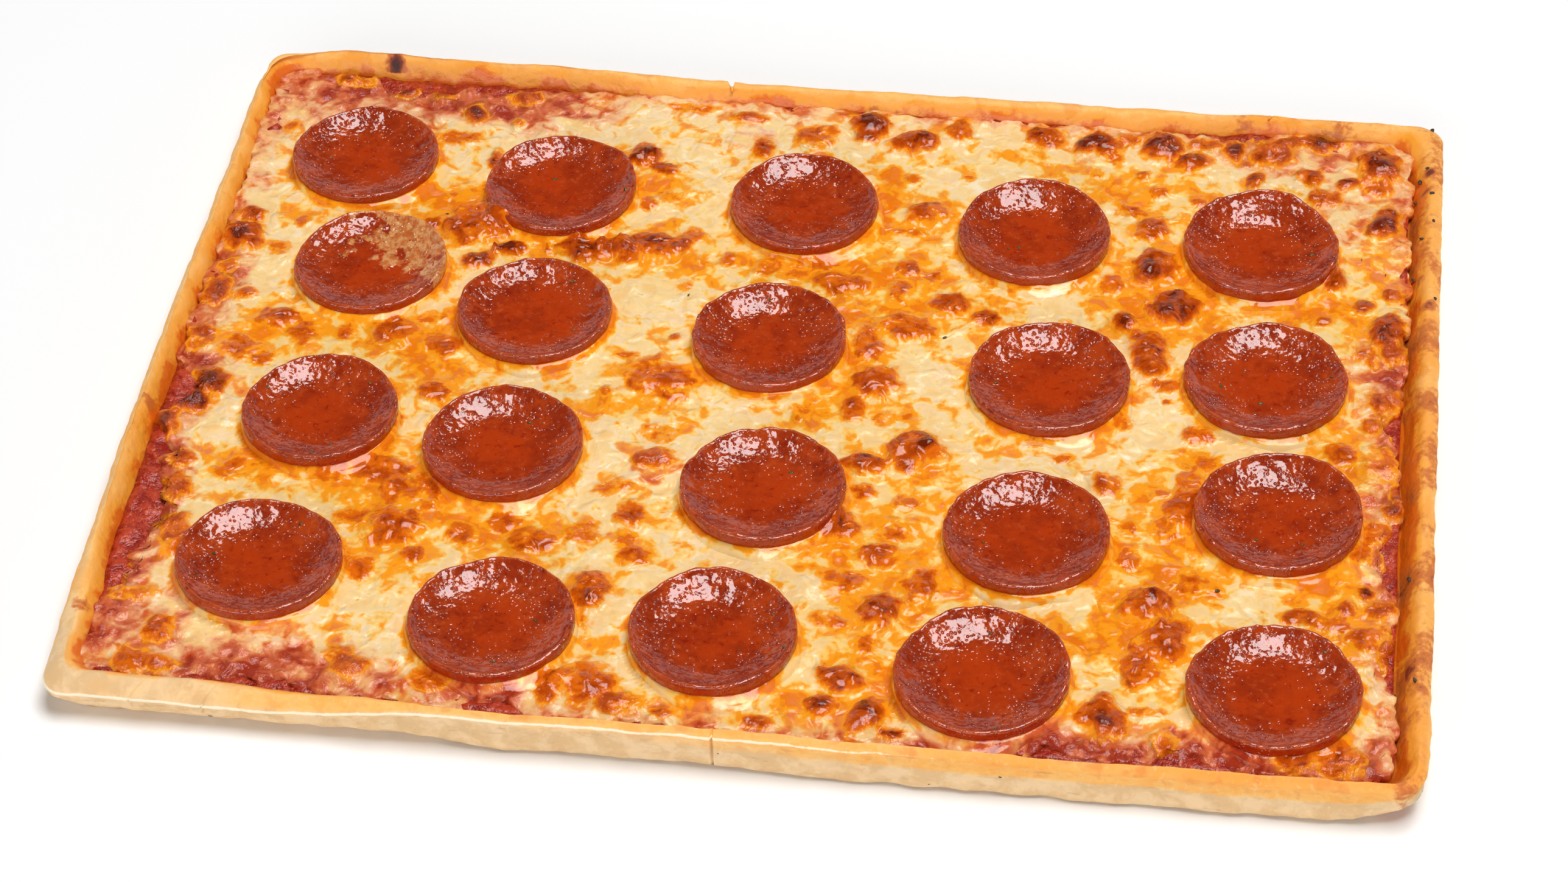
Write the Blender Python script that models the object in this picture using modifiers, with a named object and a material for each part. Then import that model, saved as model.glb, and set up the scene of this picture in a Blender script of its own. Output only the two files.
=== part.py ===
"""A rectangular thin-crust pepperoni pizza with cupped slices, as a Blender script.

Metres, +Z up. The pizza lies flat on z = 0 with its centre at the origin: +X runs along its
long side to the right, and -Y is the front, where the pale side of the crust shows.

The pieces, from below: a baked crust shaped like a shallow tray, a thin sheet of tomato sauce,
a sheet of melted cheese with browned blisters, and twenty cupped pepperoni slices.
"""

import math
import random

import bmesh
import bpy
from mathutils import Vector, geometry, noise

MM = 0.001

# Crust: a tray of dough with a low rim and a flat base.
CRUST_LENGTH = 359 * MM
CRUST_WIDTH = 272 * MM
CORNER_RADIUS = 7 * MM
LIP_HEIGHT = 11.8 * MM  # the sharp upper edge of the side
RIM_HEIGHT = 13.4 * MM  # the rounded top of the rim, just inside the lip
TRAY_FLOOR = 5.4 * MM
TRAY_INSET = 8.8 * MM  # from the lip to the foot of the rim's inner face
BASE_INSET = 4.5 * MM  # how far the resting face stays inside the outline
CRACK_WIDTH = 1.8 * MM
CRACK_DEPTH = 5.5 * MM

# Toppings: everything is stacked with the smallest gap that keeps the solids apart.
GAP = 0.32 * MM
SAUCE_THICKNESS = 1.5 * MM
CHEESE_THICKNESS = 2.3 * MM
CHEESE_BED = 1.5 * MM  # what is left of the cheese under a slice
CHEESE_MARGIN = 1.2 * MM  # from the foot of the rim's inner face to the cheese where it comes closest
BLISTER_HEIGHT = 0.34  # of the blister's radius

# Pepperoni: a thick-cut slice that has curled into a cup.
SLICE_WALL = 2.4 * MM
CUP_HEIGHT = 5.6 * MM
SLICE_SIDES = 20

# Centre and radius of each slice and how much its back edge stands up, in millimetres, from the back left.
SLICES = (
    (-138.6, 87.5, 21.6, 0.3), (-78.2, 79.8, 22.2, 0.0), (-5.4, 78.5, 21.7, 0.3), (62.3, 72.5, 22.0, 1.2),
    (128.0, 73.0, 22.3, 2.6), (-127.4, 39.0, 22.1, 0.0), (-76.0, 23.0, 22.1, 0.0), (-7.9, 18.2, 21.7, 0.5),
    (72.2, 9.5, 22.6, 0.4), (132.0, 15.5, 22.7, 0.4), (-128.0, -25.5, 21.6, 0.0), (-74.7, -33.5, 22.1, 0.0),
    (-1.5, -42.5, 22.5, 0.2), (71.0, -53.0, 22.4, 0.4), (137.5, -38.5, 22.5, 1.6), (-131.3, -85.3, 22.2, 0.3),
    (-65.5, -101.0, 22.2, 0.3), (-6.9, -99.0, 22.2, 0.3), (64.3, -106.3, 22.8, 0.2), (139.3, -103.5, 22.4, 0.2),
)

# Centre and radius of the largest browned cheese blisters, in millimetres.
BLISTERS = (
    (160.0, 118.0, 6.5), (9.0, 120.5, 5.5), (24.0, 114.5, 5.5), (77.0, 120.5, 4.5), (97.0, 121.0, 5.5),
    (106.0, 114.0, 4.5), (144.0, 121.5, 4.5), (162.0, 92.0, 4.5), (105.0, 46.5, 6.0), (100.0, 26.0, 4.5),
    (97.0, 64.0, 5.0), (163.5, 44.0, 5.0), (30.0, 83.0, 5.0), (24.5, 7.0, 6.0), (42.0, 39.0, 5.0),
    (-103.0, 54.0, 5.0), (-47.0, 56.0, 6.0), (-166.0, 54.0, 5.0), (-38.0, -2.0, 6.0), (37.0, -22.0, 6.0),
    (-99.0, -66.0, 5.5), (34.0, -84.0, 4.5), (-37.5, -79.0, 4.0), (105.0, -73.5, 4.5), (107.0, -90.0, 5.0),
    (28.0, -109.5, 4.5), (34.0, -121.0, 4.5), (96.0, -116.0, 5.0), (-165.0, -25.0, 4.5), (-152.0, -120.5, 4.0),
)

# Bays in the cheese's edge where the sauce shows: centre on the rim, depth and reach, in millimetres.
SAUCE_BAYS = (
    (-172.0, -58.0, 9.0, 30.0), (-172.0, -15.0, 5.0, 12.0), (-120.0, -128.0, 7.0, 24.0), (-105.0, 128.0, 6.0, 34.0),
    (95.0, -128.0, 4.5, 40.0), (150.0, -128.0, 5.0, 16.0), (118.0, 127.0, 3.5, 22.0), (172.0, -30.0, 3.5, 40.0),
)

COLOURS = {
    "crust": (0.78, 0.48, 0.17),
    "sauce": (0.42, 0.045, 0.02),
    "cheese": (0.88, 0.62, 0.24),
    "pepperoni": (0.36, 0.05, 0.018),
}
ROUGHNESS = {"crust": 0.75, "sauce": 0.3, "cheese": 0.4, "pepperoni": 0.25}


def clear_scene():
    for old in list(bpy.data.objects):
        bpy.data.objects.remove(old)


def collection(name):
    made = bpy.data.collections.new(name)
    bpy.context.scene.collection.children.link(made)
    return made


def finish(name):
    """The plain surface of one kind of piece."""
    material = bpy.data.materials.new(name)
    material.use_nodes = True
    shader = material.node_tree.nodes["Principled BSDF"]
    shader.inputs["Base Color"].default_value = (*COLOURS[name], 1)
    shader.inputs["Roughness"].default_value = ROUGHNESS[name]
    return material


def add_object(name, mesh_builder, home, material):
    """Turns a bmesh into a smooth-shaded object of the pizza."""
    mesh = bpy.data.meshes.new(name)
    bmesh.ops.recalc_face_normals(mesh_builder, faces=mesh_builder.faces)
    mesh_builder.to_mesh(mesh)
    mesh_builder.free()
    mesh.shade_smooth()
    mesh.set_sharp_from_angle(angle=math.radians(40))
    mesh.materials.append(material)
    made = bpy.data.objects.new(name, mesh)
    home.objects.link(made)
    return made


def wave(x, y, scale, seed):
    """Smooth unevenness between -1 and 1, with bumps about scale across."""
    return noise.noise(Vector((x / scale, y / scale, seed * 7.3)))


def crust_outline(sides=(36, 27), corner_steps=4):
    """Points of a rounded rectangle as large as the crust, counter-clockwise."""
    points = []
    for corner in range(4):
        middle = Vector((CRUST_LENGTH / 2 - CORNER_RADIUS, CRUST_WIDTH / 2 - CORNER_RADIUS))
        middle.x *= 1 if corner in (0, 3) else -1
        middle.y *= 1 if corner in (0, 1) else -1
        for step in range(corner_steps + 1):
            angle = math.pi / 2 * (corner + step / corner_steps)
            points.append(middle + CORNER_RADIUS * Vector((math.cos(angle), math.sin(angle))))
    filled = []
    for index, point in enumerate(points):
        filled.append(point)
        after = points[(index + 1) % len(points)]
        if index % (corner_steps + 1) == corner_steps:
            count = sides[0] if abs(after.x - point.x) > abs(after.y - point.y) else sides[1]
            filled += [point.lerp(after, k / count) for k in range(1, count)]
    return filled


def drawn_in(point, inset):
    """A point of the outline moved inwards by inset, measured from the long and from the short sides."""
    return Vector((point.x * (1 - 2 * inset / CRUST_LENGTH), point.y * (1 - 2 * inset / CRUST_WIDTH)))


def ramp(value, start, end):
    """0 at start, 1 at end, and smooth between them."""
    share = min(1, max(0, (value - start) / (end - start)))
    return share * share * (3 - 2 * share)


def near_corner(x, y, side, end, reach):
    """1 at one corner of the crust, fading to 0 at reach from it; side and end are -1 or 1."""
    away = math.hypot(x - side * CRUST_LENGTH / 2, y - end * CRUST_WIDTH / 2)
    return math.exp(-((away / reach) ** 2))


def at_front(y):
    """1 along the front side, 0 elsewhere."""
    return ramp(y, -CRUST_WIDTH / 2 + 40 * MM, -CRUST_WIDTH / 2 + 8 * MM)


def at_back(y):
    """1 along the back side, 0 elsewhere."""
    return ramp(y, CRUST_WIDTH / 2 - 20 * MM, CRUST_WIDTH / 2)


def corner_lift(x, y):
    """How far the underside curls up off the table near the two front corners."""
    left = 3.0 * MM * ramp(x, -55 * MM, -95 * MM) + 1.2 * MM * ramp(x, -160 * MM, -178 * MM)
    return at_front(y) * (left + 3.4 * MM * ramp(x, 155 * MM, 178 * MM))


def lip_drop(x, y):
    """How far the rim's outer edge sinks along the front's left end, where it was pressed flat."""
    return at_front(y) * 3.6 * MM * ramp(x, -70 * MM, -120 * MM)


def outline_bulge(x, y):
    """Where the rim was rolled fuller than the rest: the back's left half and the middle of the left side."""
    back = 2.4 * MM * at_back(y) * ramp(x, -45 * MM, -90 * MM) * ramp(x, -178 * MM, -150 * MM)
    left = 1.0 * MM * ramp(x, -150 * MM, -178 * MM) * ramp(abs(y + 10 * MM), 70 * MM, 30 * MM)
    worn = 1.8 * MM * near_corner(x, y, -1, 1, 14 * MM) + 1.2 * MM * near_corner(x, y, 1, -1, 11 * MM)
    return back + left - worn


def foot_spread(x, y):
    """How far the lower part of the front stands out before the lip, along its right half."""
    return 1.3 * MM * at_front(y) * ramp(x, -10 * MM, 60 * MM) * ramp(x, 178 * MM, 150 * MM)


def tray_edge(x, y):
    """How far the rim's inner face stands from its mean place, shared by the crust and the sauce against it."""
    narrow = 2.0 * MM * ramp(x, -CRUST_LENGTH / 2 + 20 * MM, -CRUST_LENGTH / 2) * ramp(y, -110 * MM, -80 * MM)
    narrow += 1.8 * MM * ramp(y, -CRUST_WIDTH / 2 + 20 * MM, -CRUST_WIDTH / 2) * ramp(x, -120 * MM, -60 * MM)
    narrow += 2.2 * MM * at_back(y) * (ramp(x, -60 * MM, -90 * MM) + ramp(x, 90 * MM, 130 * MM))
    wide = 4.0 * MM * near_corner(x, y, 1, 1, 11 * MM) + 1.5 * MM * near_corner(x, y, -1, -1, 45 * MM)
    return wide - narrow + 0.8 * MM * wave(x, y, 26 * MM, 3)


def crust_ring(inset, height, sway=0.0, bob=0.0, lift=0.0, drop=0.0, spread=0.0, follows_tray=False):
    """One closed line of points round the crust, with its own unevenness sideways and up.

    lift, drop and spread are its shares of corner_lift, lip_drop and foot_spread.
    """
    ring = []
    for point in crust_outline():
        x, y = point
        reach = inset + sway * wave(x, y, 17 * MM, 1) - outline_bulge(x, y) - spread * foot_spread(x, y)
        if follows_tray:
            reach += tray_edge(x, y)
        spot = drawn_in(point, reach)
        top = height + bob * wave(x, y, 30 * MM, 2) + lift * corner_lift(x, y) - drop * lip_drop(x, y)
        ring.append((spot.x, spot.y, top))
    return ring


def loft(rings):
    """A closed body through rings of equal length, with a flat face on the first and the last."""
    body = bmesh.new()
    loops = [[body.verts.new(point) for point in ring] for ring in rings]
    count = len(loops[0])
    for lower, upper in zip(loops, loops[1:]):
        for k in range(count):
            after = (k + 1) % count
            body.faces.new((lower[k], lower[after], upper[after], upper[k]))
    body.faces.new(loops[0])
    body.faces.new(loops[-1])
    return body


def make_crust(home, cutters, material):
    """The dough tray: flat base, rounded lower edge, pale side, sharp lip, rounded rim and inner face."""
    rings = [
        crust_ring(BASE_INSET, 0),
        crust_ring(0.9 * MM, 1.0 * MM, sway=0.8 * MM, bob=0.5 * MM, lift=1.0, spread=1.0),
        crust_ring(0.4 * MM, 5.2 * MM, sway=1.0 * MM, lift=0.5, drop=0.3, spread=0.8),
        crust_ring(0.0, LIP_HEIGHT, sway=0.5 * MM, bob=0.5 * MM, drop=1.0),
        crust_ring(1.5 * MM, RIM_HEIGHT, sway=0.5 * MM, bob=0.6 * MM, drop=0.8),
        crust_ring(4.2 * MM, RIM_HEIGHT - 0.4 * MM, bob=0.6 * MM, drop=0.2, follows_tray=True),
        crust_ring(6.8 * MM, TRAY_FLOOR + 3.6 * MM, follows_tray=True),
        crust_ring(TRAY_INSET, TRAY_FLOOR, follows_tray=True),
    ]
    crust = add_object("crust", loft(rings), home, material)
    for x, y in ((-35.5 * MM, CRUST_WIDTH / 2), (129.5 * MM, CRUST_WIDTH / 2)):
        narrow = 1.0 if x < 0 else 0.55
        bpy.ops.mesh.primitive_cone_add(
            vertices=3,
            radius1=CRACK_DEPTH * narrow * 1.3,
            radius2=CRACK_DEPTH * narrow * 1.3,
            depth=3 * RIM_HEIGHT,
            location=(x, y, RIM_HEIGHT),
            rotation=(0, 0, math.radians(180)),
        )
        cutter = bpy.context.object
        cutter.name = "crack_cutter"
        cutter.scale.x = CRACK_WIDTH / CRACK_DEPTH
        cutter.hide_render = True
        cutter.display_type = "WIRE"
        for owner in list(cutter.users_collection):
            owner.objects.unlink(cutter)
        cutters.objects.link(cutter)
        cut = crust.modifiers.new("crack", "BOOLEAN")
        cut.operation = "DIFFERENCE"
        cut.object = cutter
    return crust


def make_sauce(home, material):
    """The thin sheet of tomato sauce on the tray's floor, which shows where the cheese stops short."""
    bottom = TRAY_FLOOR + GAP
    top = bottom + SAUCE_THICKNESS
    foot = TRAY_INSET + 1.5 * GAP
    rings = [
        crust_ring(foot, bottom, follows_tray=True),
        crust_ring(foot, bottom + 0.6 * SAUCE_THICKNESS, follows_tray=True),
        crust_ring(foot + 2.5 * MM, top - 0.15 * MM, follows_tray=True),
        crust_ring(foot + 8 * MM, top - 0.25 * MM, follows_tray=True),
    ]
    return add_object("sauce", loft(rings), home, material)


def cheese_outline():
    """The ragged edge of the cheese: close to the rim, with bays where the sauce shows."""
    points = []
    for point in crust_outline(sides=(44, 33), corner_steps=3):
        x, y = point
        ragged = 0.8 * MM + 1.4 * MM * wave(x, y, 11 * MM, 5)
        bay = 0.0
        for bay_x, bay_y, depth, reach in SAUCE_BAYS:
            away = math.hypot(x / MM - bay_x, y / MM - bay_y) / reach
            bay += depth * MM * math.exp(-away * away) * (1 + 0.5 * wave(x, y, 9 * MM, 8))
        points.append(drawn_in(point, TRAY_INSET + CHEESE_MARGIN + max(0, ragged) + bay + tray_edge(x, y)))
    return points


def slice_discs():
    """Centre and radius of every slice, in metres."""
    return [(Vector((x * MM, y * MM)), radius * MM) for x, y, radius, _ in SLICES]


def cheese_height(point, bed):
    """Top of the cheese: gently uneven, domed at the blisters, flat under the slices."""
    low = bed + CHEESE_BED
    high = bed + CHEESE_THICKNESS + 0.5 * MM * wave(point.x, point.y, 22 * MM, 6)
    for x, y, radius in BLISTERS:
        away = (point - Vector((x * MM, y * MM))).length / (radius * MM)
        if away < 1:
            high += BLISTER_HEIGHT * radius * MM * (1 - away * away)
    for centre, radius in slice_discs():
        away = (point - centre).length
        if away < radius + 0.5 * MM:
            return low
    return high


def scattered_points(outline):
    """Points for the cheese sheet: rings under each slice, rings on each blister, and a jittered grid."""
    draw = random.Random(11)
    spots = []
    for centre, radius in slice_discs():
        for ring, count in ((0.82, 8), (1.08, 14)):
            for k in range(count):
                angle = 2 * math.pi * k / count
                spots.append(centre + ring * radius * Vector((math.cos(angle), math.sin(angle))))
    for x, y, radius in BLISTERS:
        centre = Vector((x * MM, y * MM))
        spots.append(centre)
        for k in range(6):
            angle = math.pi / 3 * k
            for ring in (0.55, 1.0):
                spots.append(centre + ring * radius * MM * Vector((math.cos(angle), math.sin(angle))))
    step = 9.5 * MM
    for row in range(-14, 15):
        for column in range(-19, 20):
            spots.append(Vector((column, row)) * step + Vector((draw.random(), draw.random())) * 0.6 * step)
    inside = []
    for spot in spots:
        near_edge = min((spot - corner).length for corner in outline)
        covered = any((spot - centre).length < 0.8 * radius for centre, radius in slice_discs())
        crowded = any((spot - other).length < 2.2 * MM for other in inside)
        if near_edge > 3 * MM and not covered and not crowded and within(spot, outline):
            inside.append(spot)
    return inside


def within(spot, outline):
    """Whether a point lies inside a closed outline, by counting the edges to its right."""
    crossings = 0
    for start, end in zip(outline, outline[1:] + outline[:1]):
        if (start.y > spot.y) != (end.y > spot.y):
            across = start.x + (spot.y - start.y) / (end.y - start.y) * (end.x - start.x)
            crossings += across > spot.x
    return crossings % 2 == 1


def make_cheese(home, material):
    """The melted cheese: a triangulated sheet raised by its height, then thickened down to a flat underside."""
    bed = TRAY_FLOOR + SAUCE_THICKNESS + 2 * GAP
    outline = cheese_outline()
    spots = outline + scattered_points(outline)
    edges = [(k, (k + 1) % len(outline)) for k in range(len(outline))]
    flat, _, faces, *_ = geometry.delaunay_2d_cdt(spots, edges, [], 1, 1e-6)
    sheet = bmesh.new()
    rim = len(outline)
    for index, spot in enumerate(flat):
        top = cheese_height(spot, bed)
        sheet.verts.new((spot.x, spot.y, bed + 0.7 * MM if index < rim else top))
    sheet.verts.ensure_lookup_table()
    for face in faces:
        sheet.faces.new([sheet.verts[k] for k in face])
    grown = bmesh.ops.extrude_face_region(sheet, geom=sheet.faces[:])
    lowered = [item for item in grown["geom"] if isinstance(item, bmesh.types.BMVert)]
    for vert in lowered:
        vert.co.z = bed
    underside = [item for item in grown["geom"] if isinstance(item, bmesh.types.BMFace)]
    bmesh.ops.dissolve_faces(sheet, faces=underside, use_verts=True)
    return add_object("cheese", sheet, home, material)


def slice_profile(radius):
    """Half section of a cupped slice, from the middle of the underside out, over the rim and back in."""
    foot = 0.62 * radius
    return (
        (0.0, 0.0),
        (foot, 0.0),
        (0.90 * radius, 1.6 * MM),
        (radius, CUP_HEIGHT - 1.3 * MM),
        (0.975 * radius, CUP_HEIGHT),
        (0.915 * radius, CUP_HEIGHT - 0.5 * MM),
        (0.72 * radius, SLICE_WALL + 0.5 * MM),
        (0.0, SLICE_WALL - 0.4 * MM),
    )


def make_slice(index, centre, radius, base, stand, home, material):
    """One slice: the profile turned by a Screw modifier, then bent out of true by a few broad lobes."""
    name = f"pepperoni_{index:02d}"
    outline = bpy.data.meshes.new(name + "_profile")
    points = [(x, 0, z) for x, z in reversed(slice_profile(radius))]
    outline.from_pydata(points, [(k, k + 1) for k in range(len(points) - 1)], [])
    turned = bpy.data.objects.new(name + "_profile", outline)
    home.objects.link(turned)
    screw = turned.modifiers.new("turn", "SCREW")
    screw.steps = screw.render_steps = SLICE_SIDES
    screw.use_merge_vertices = True
    screw.merge_threshold = 0.0001
    graph = bpy.context.evaluated_depsgraph_get()
    solid = bpy.data.meshes.new_from_object(turned.evaluated_get(graph))
    bpy.data.objects.remove(turned)

    draw = random.Random(100 + index)
    lobes = [(count, draw.uniform(0, 2 * math.pi)) for count in (2, 3, 5)]
    body = bmesh.new()
    body.from_mesh(solid)
    for vert in body.verts:
        away = math.hypot(vert.co.x, vert.co.y)
        angle = math.atan2(vert.co.y, vert.co.x)
        share = min(1, away / radius) ** 3
        lobe = sum(math.cos(count * angle + start) / count for count, start in lobes)
        vert.co.x *= 1 + 0.016 * share * lobe
        vert.co.y *= 1 + 0.016 * share * lobe
        if vert.co.z > 0.5 * CUP_HEIGHT:
            vert.co.z += 0.45 * MM * share * lobe + stand * share * max(0, math.sin(angle)) ** 2
        vert.co += Vector((centre.x, centre.y, base))
    return add_object(name, body, home, material)


def settle(home, cutters):
    """Moves all pieces together, so that the crust's bounding box is centred over the origin."""
    bpy.context.view_layer.update()
    corners = [Vector(corner) for corner in bpy.data.objects["crust"].bound_box]
    middle = sum(corners, Vector()) / len(corners)
    for piece in (*home.objects, *cutters.objects):
        piece.location.x -= middle.x
        piece.location.y -= middle.y


def main():
    clear_scene()
    pizza = collection("pizza")
    cutters = collection("cutters")
    cutters.hide_render = True
    finishes = {name: finish(name) for name in COLOURS}
    make_crust(pizza, cutters, finishes["crust"])
    make_sauce(pizza, finishes["sauce"])
    make_cheese(pizza, finishes["cheese"])
    base = TRAY_FLOOR + SAUCE_THICKNESS + 2 * GAP + CHEESE_BED + GAP
    for index, (centre, radius) in enumerate(slice_discs(), start=1):
        stand = SLICES[index - 1][3] * MM
        make_slice(index, centre, radius, base, stand, pizza, finishes["pepperoni"])
    settle(pizza, cutters)


main()
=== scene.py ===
import math
import random

import bpy
import numpy as np
from mathutils import Matrix, Vector, noise


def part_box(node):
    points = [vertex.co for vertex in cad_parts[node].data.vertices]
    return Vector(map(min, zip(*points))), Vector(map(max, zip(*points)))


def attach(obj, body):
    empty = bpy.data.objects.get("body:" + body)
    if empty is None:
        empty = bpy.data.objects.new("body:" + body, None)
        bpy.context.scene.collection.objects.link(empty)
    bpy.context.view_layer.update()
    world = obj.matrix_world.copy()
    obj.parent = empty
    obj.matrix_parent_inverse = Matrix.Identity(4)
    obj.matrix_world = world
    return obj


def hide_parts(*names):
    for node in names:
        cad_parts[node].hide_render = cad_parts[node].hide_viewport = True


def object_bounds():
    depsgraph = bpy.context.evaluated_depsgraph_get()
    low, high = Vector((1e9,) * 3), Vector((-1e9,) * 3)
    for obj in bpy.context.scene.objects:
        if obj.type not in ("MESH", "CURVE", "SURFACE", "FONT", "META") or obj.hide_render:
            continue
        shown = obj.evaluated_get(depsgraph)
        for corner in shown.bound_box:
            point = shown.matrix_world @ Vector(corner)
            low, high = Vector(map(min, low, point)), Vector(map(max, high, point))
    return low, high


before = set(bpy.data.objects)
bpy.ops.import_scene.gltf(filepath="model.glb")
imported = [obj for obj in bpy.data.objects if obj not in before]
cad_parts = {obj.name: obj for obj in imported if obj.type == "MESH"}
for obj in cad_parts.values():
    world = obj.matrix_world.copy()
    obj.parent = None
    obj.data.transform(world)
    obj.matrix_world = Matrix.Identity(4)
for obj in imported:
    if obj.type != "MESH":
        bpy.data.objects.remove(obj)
cad_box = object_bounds()
MM = 0.001


# The crust
# A tray of thin bread dough with a low rolled rim, baked golden on top and left pale and floury
# along the cut sides. It is drawn as one closed skin: rings round the outline, from the
# underside over the lip and the rim down to the tray's floor.

CRUST_LENGTH = 359 * MM
CRUST_WIDTH = 272 * MM
CORNER_RADIUS = 7 * MM
CRUST_SHIFT = Vector((0.395, -0.905)) * MM  # the outline's middle, because the rim is uneven

# Half section of the rim: inset and height in millimetres, then its shares of the front's lift, drop and
# spread, of the tray's edge, and of the unevenness sideways and up.
RIM_SECTION = (
    (4.5, 0.0, 0.3, 0.0, 0.3, 0.0, 0.3, 0.0),
    (2.6, 0.1, 0.6, 0.0, 0.7, 0.0, 0.7, 0.3),
    (1.5, 0.5, 0.9, 0.0, 1.0, 0.0, 1.0, 0.8),
    (0.9, 1.4, 1.0, 0.0, 1.0, 0.0, 1.0, 0.8),
    (0.6, 2.8, 0.8, 0.1, 0.95, 0.0, 1.0, 0.5),
    (0.45, 4.6, 0.6, 0.25, 0.85, 0.0, 1.0, 0.3),
    (0.5, 6.6, 0.4, 0.45, 0.7, 0.0, 0.9, 0.3),
    (0.5, 8.6, 0.2, 0.65, 0.5, 0.0, 0.8, 0.4),
    (0.35, 10.3, 0.1, 0.85, 0.2, 0.0, 0.7, 0.6),
    (0.0, 11.4, 0.0, 1.0, 0.05, 0.0, 0.5, 0.8),
    (0.1, 11.9, 0.0, 1.0, 0.0, 0.0, 0.5, 0.9),
    (0.7, 12.5, 0.0, 0.95, 0.0, 0.0, 0.5, 1.0),
    (1.6, 13.2, 0.0, 0.8, 0.0, 0.1, 0.4, 1.0),
    (2.8, 13.5, 0.0, 0.55, 0.0, 0.5, 0.2, 1.0),
    (4.0, 13.1, 0.0, 0.25, 0.0, 1.0, 0.0, 1.0),
    (5.1, 11.9, 0.0, 0.1, 0.0, 1.0, 0.0, 0.6),
    (6.2, 10.2, 0.0, 0.0, 0.0, 1.0, 0.0, 0.3),
    (7.1, 8.4, 0.0, 0.0, 0.0, 1.0, 0.0, 0.0),
    (8.0, 6.8, 0.0, 0.0, 0.0, 1.0, 0.0, 0.0),
    (8.8, 5.4, 0.0, 0.0, 0.0, 1.0, 0.0, 0.0),
)
RINGS_BETWEEN = 3
POINTS_ALONG_LENGTH = 320
POINTS_ALONG_WIDTH = 240
POINTS_ROUND_CORNER = 12
RIM_SWAY = 0.75 * MM  # how far the rim wanders sideways
RIM_BOB = 0.55 * MM  # and up and down

# Breaks in the rim: x, which side (-1 front, 1 back), width and depth in millimetres.
RIM_CRACKS = (
    (-35.5, 1, 1.9, 5.5), (129.5, 1, 0.7, 2.4), (-2.0, -1, 0.8, 1.2), (-155.0, -1, 0.6, 0.8),
    (-136.0, -1, 0.6, 0.9),
)

# Toasted spots on the rim: x, y, reach in millimetres, and how dark they are.
TOASTED_SPOTS = (
    (-139.0, 134.0, 2.6, 1.6), (-146.0, 130.0, 2.0, 0.9), (16.5, 127.5, 1.4, 1.1), (9.0, 128.5, 2.2, 0.6),
    (120.0, 130.0, 5.0, 0.45), (150.0, 130.0, 7.0, 0.5), (176.0, 112.0, 2.0, 1.3), (175.0, 104.0, 1.8, 1.1),
    (172.0, 92.0, 4.0, 0.6), (174.0, 80.0, 4.0, 0.6), (173.0, 66.0, 3.0, 0.8), (176.5, 52.0, 2.6, 0.9),
    (172.5, -26.0, 4.0, 0.7), (173.0, -92.0, 4.5, 1.0), (168.0, -121.0, 4.0, 0.8),
    (177.0, -100.0, 3.0, 0.5), (-173.5, -40.0, 2.0, 0.9), (-174.0, -46.0, 1.6, 0.7),
    (-176.0, -26.0, 3.0, 0.6), (-174.0, -108.0, 3.5, 0.55),
)


def ramp(value, start, end):
    """0 at start, 1 at end, and smooth between them."""
    share = np.clip((value - start) / (end - start), 0, 1)
    return share * share * (3 - 2 * share)


def bump_at(x, y, middle_x, middle_y, reach):
    """1 at a point, fading to 0 at about twice the reach from it."""
    return np.exp(-(((x - middle_x) ** 2 + (y - middle_y) ** 2) / reach**2))


def near_corner(x, y, side, end, reach):
    """1 at one corner of the crust, fading out from it; side and end are -1 or 1."""
    return bump_at(x, y, side * CRUST_LENGTH / 2, end * CRUST_WIDTH / 2, reach)


def at_front(y):
    """1 along the front side, 0 elsewhere."""
    return ramp(y, -CRUST_WIDTH / 2 + 40 * MM, -CRUST_WIDTH / 2 + 8 * MM)


def at_back(y):
    """1 along the back side, 0 elsewhere."""
    return ramp(y, CRUST_WIDTH / 2 - 20 * MM, CRUST_WIDTH / 2)


def corner_lift(x, y):
    """How far the underside curls up off the table near the two front corners."""
    left = 3.0 * MM * ramp(x, -55 * MM, -95 * MM) + 1.2 * MM * ramp(x, -160 * MM, -178 * MM)
    return at_front(y) * (left + 3.4 * MM * ramp(x, 155 * MM, 178 * MM))


def lip_drop(x, y):
    """How far the rim's outer edge sinks along the front's left end, where it was pressed flat."""
    return at_front(y) * 3.6 * MM * ramp(x, -70 * MM, -120 * MM)


def outline_bulge(x, y):
    """Where the rim was rolled fuller or is worn rounder than the rest."""
    back = 2.4 * MM * at_back(y) * ramp(x, -45 * MM, -90 * MM) * ramp(x, -178 * MM, -150 * MM)
    left = 1.0 * MM * ramp(x, -150 * MM, -178 * MM) * ramp(abs(y + 10 * MM), 70 * MM, 30 * MM)
    worn = 1.8 * MM * near_corner(x, y, -1, 1, 14 * MM) + 1.2 * MM * near_corner(x, y, 1, -1, 11 * MM)
    return back + left - worn


def foot_spread(x, y):
    """How far the lower part of the front stands out before the lip, along its right half."""
    return 1.3 * MM * at_front(y) * ramp(x, -10 * MM, 60 * MM) * ramp(x, 178 * MM, 150 * MM)


def wave(x, y, size, seed):
    """Smooth unevenness between -1 and 1 along the outline, with bumps about size across."""
    return np.array([noise.noise(Vector((a / size, b / size, seed * 7.3))) for a, b in zip(x, y)])


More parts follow.
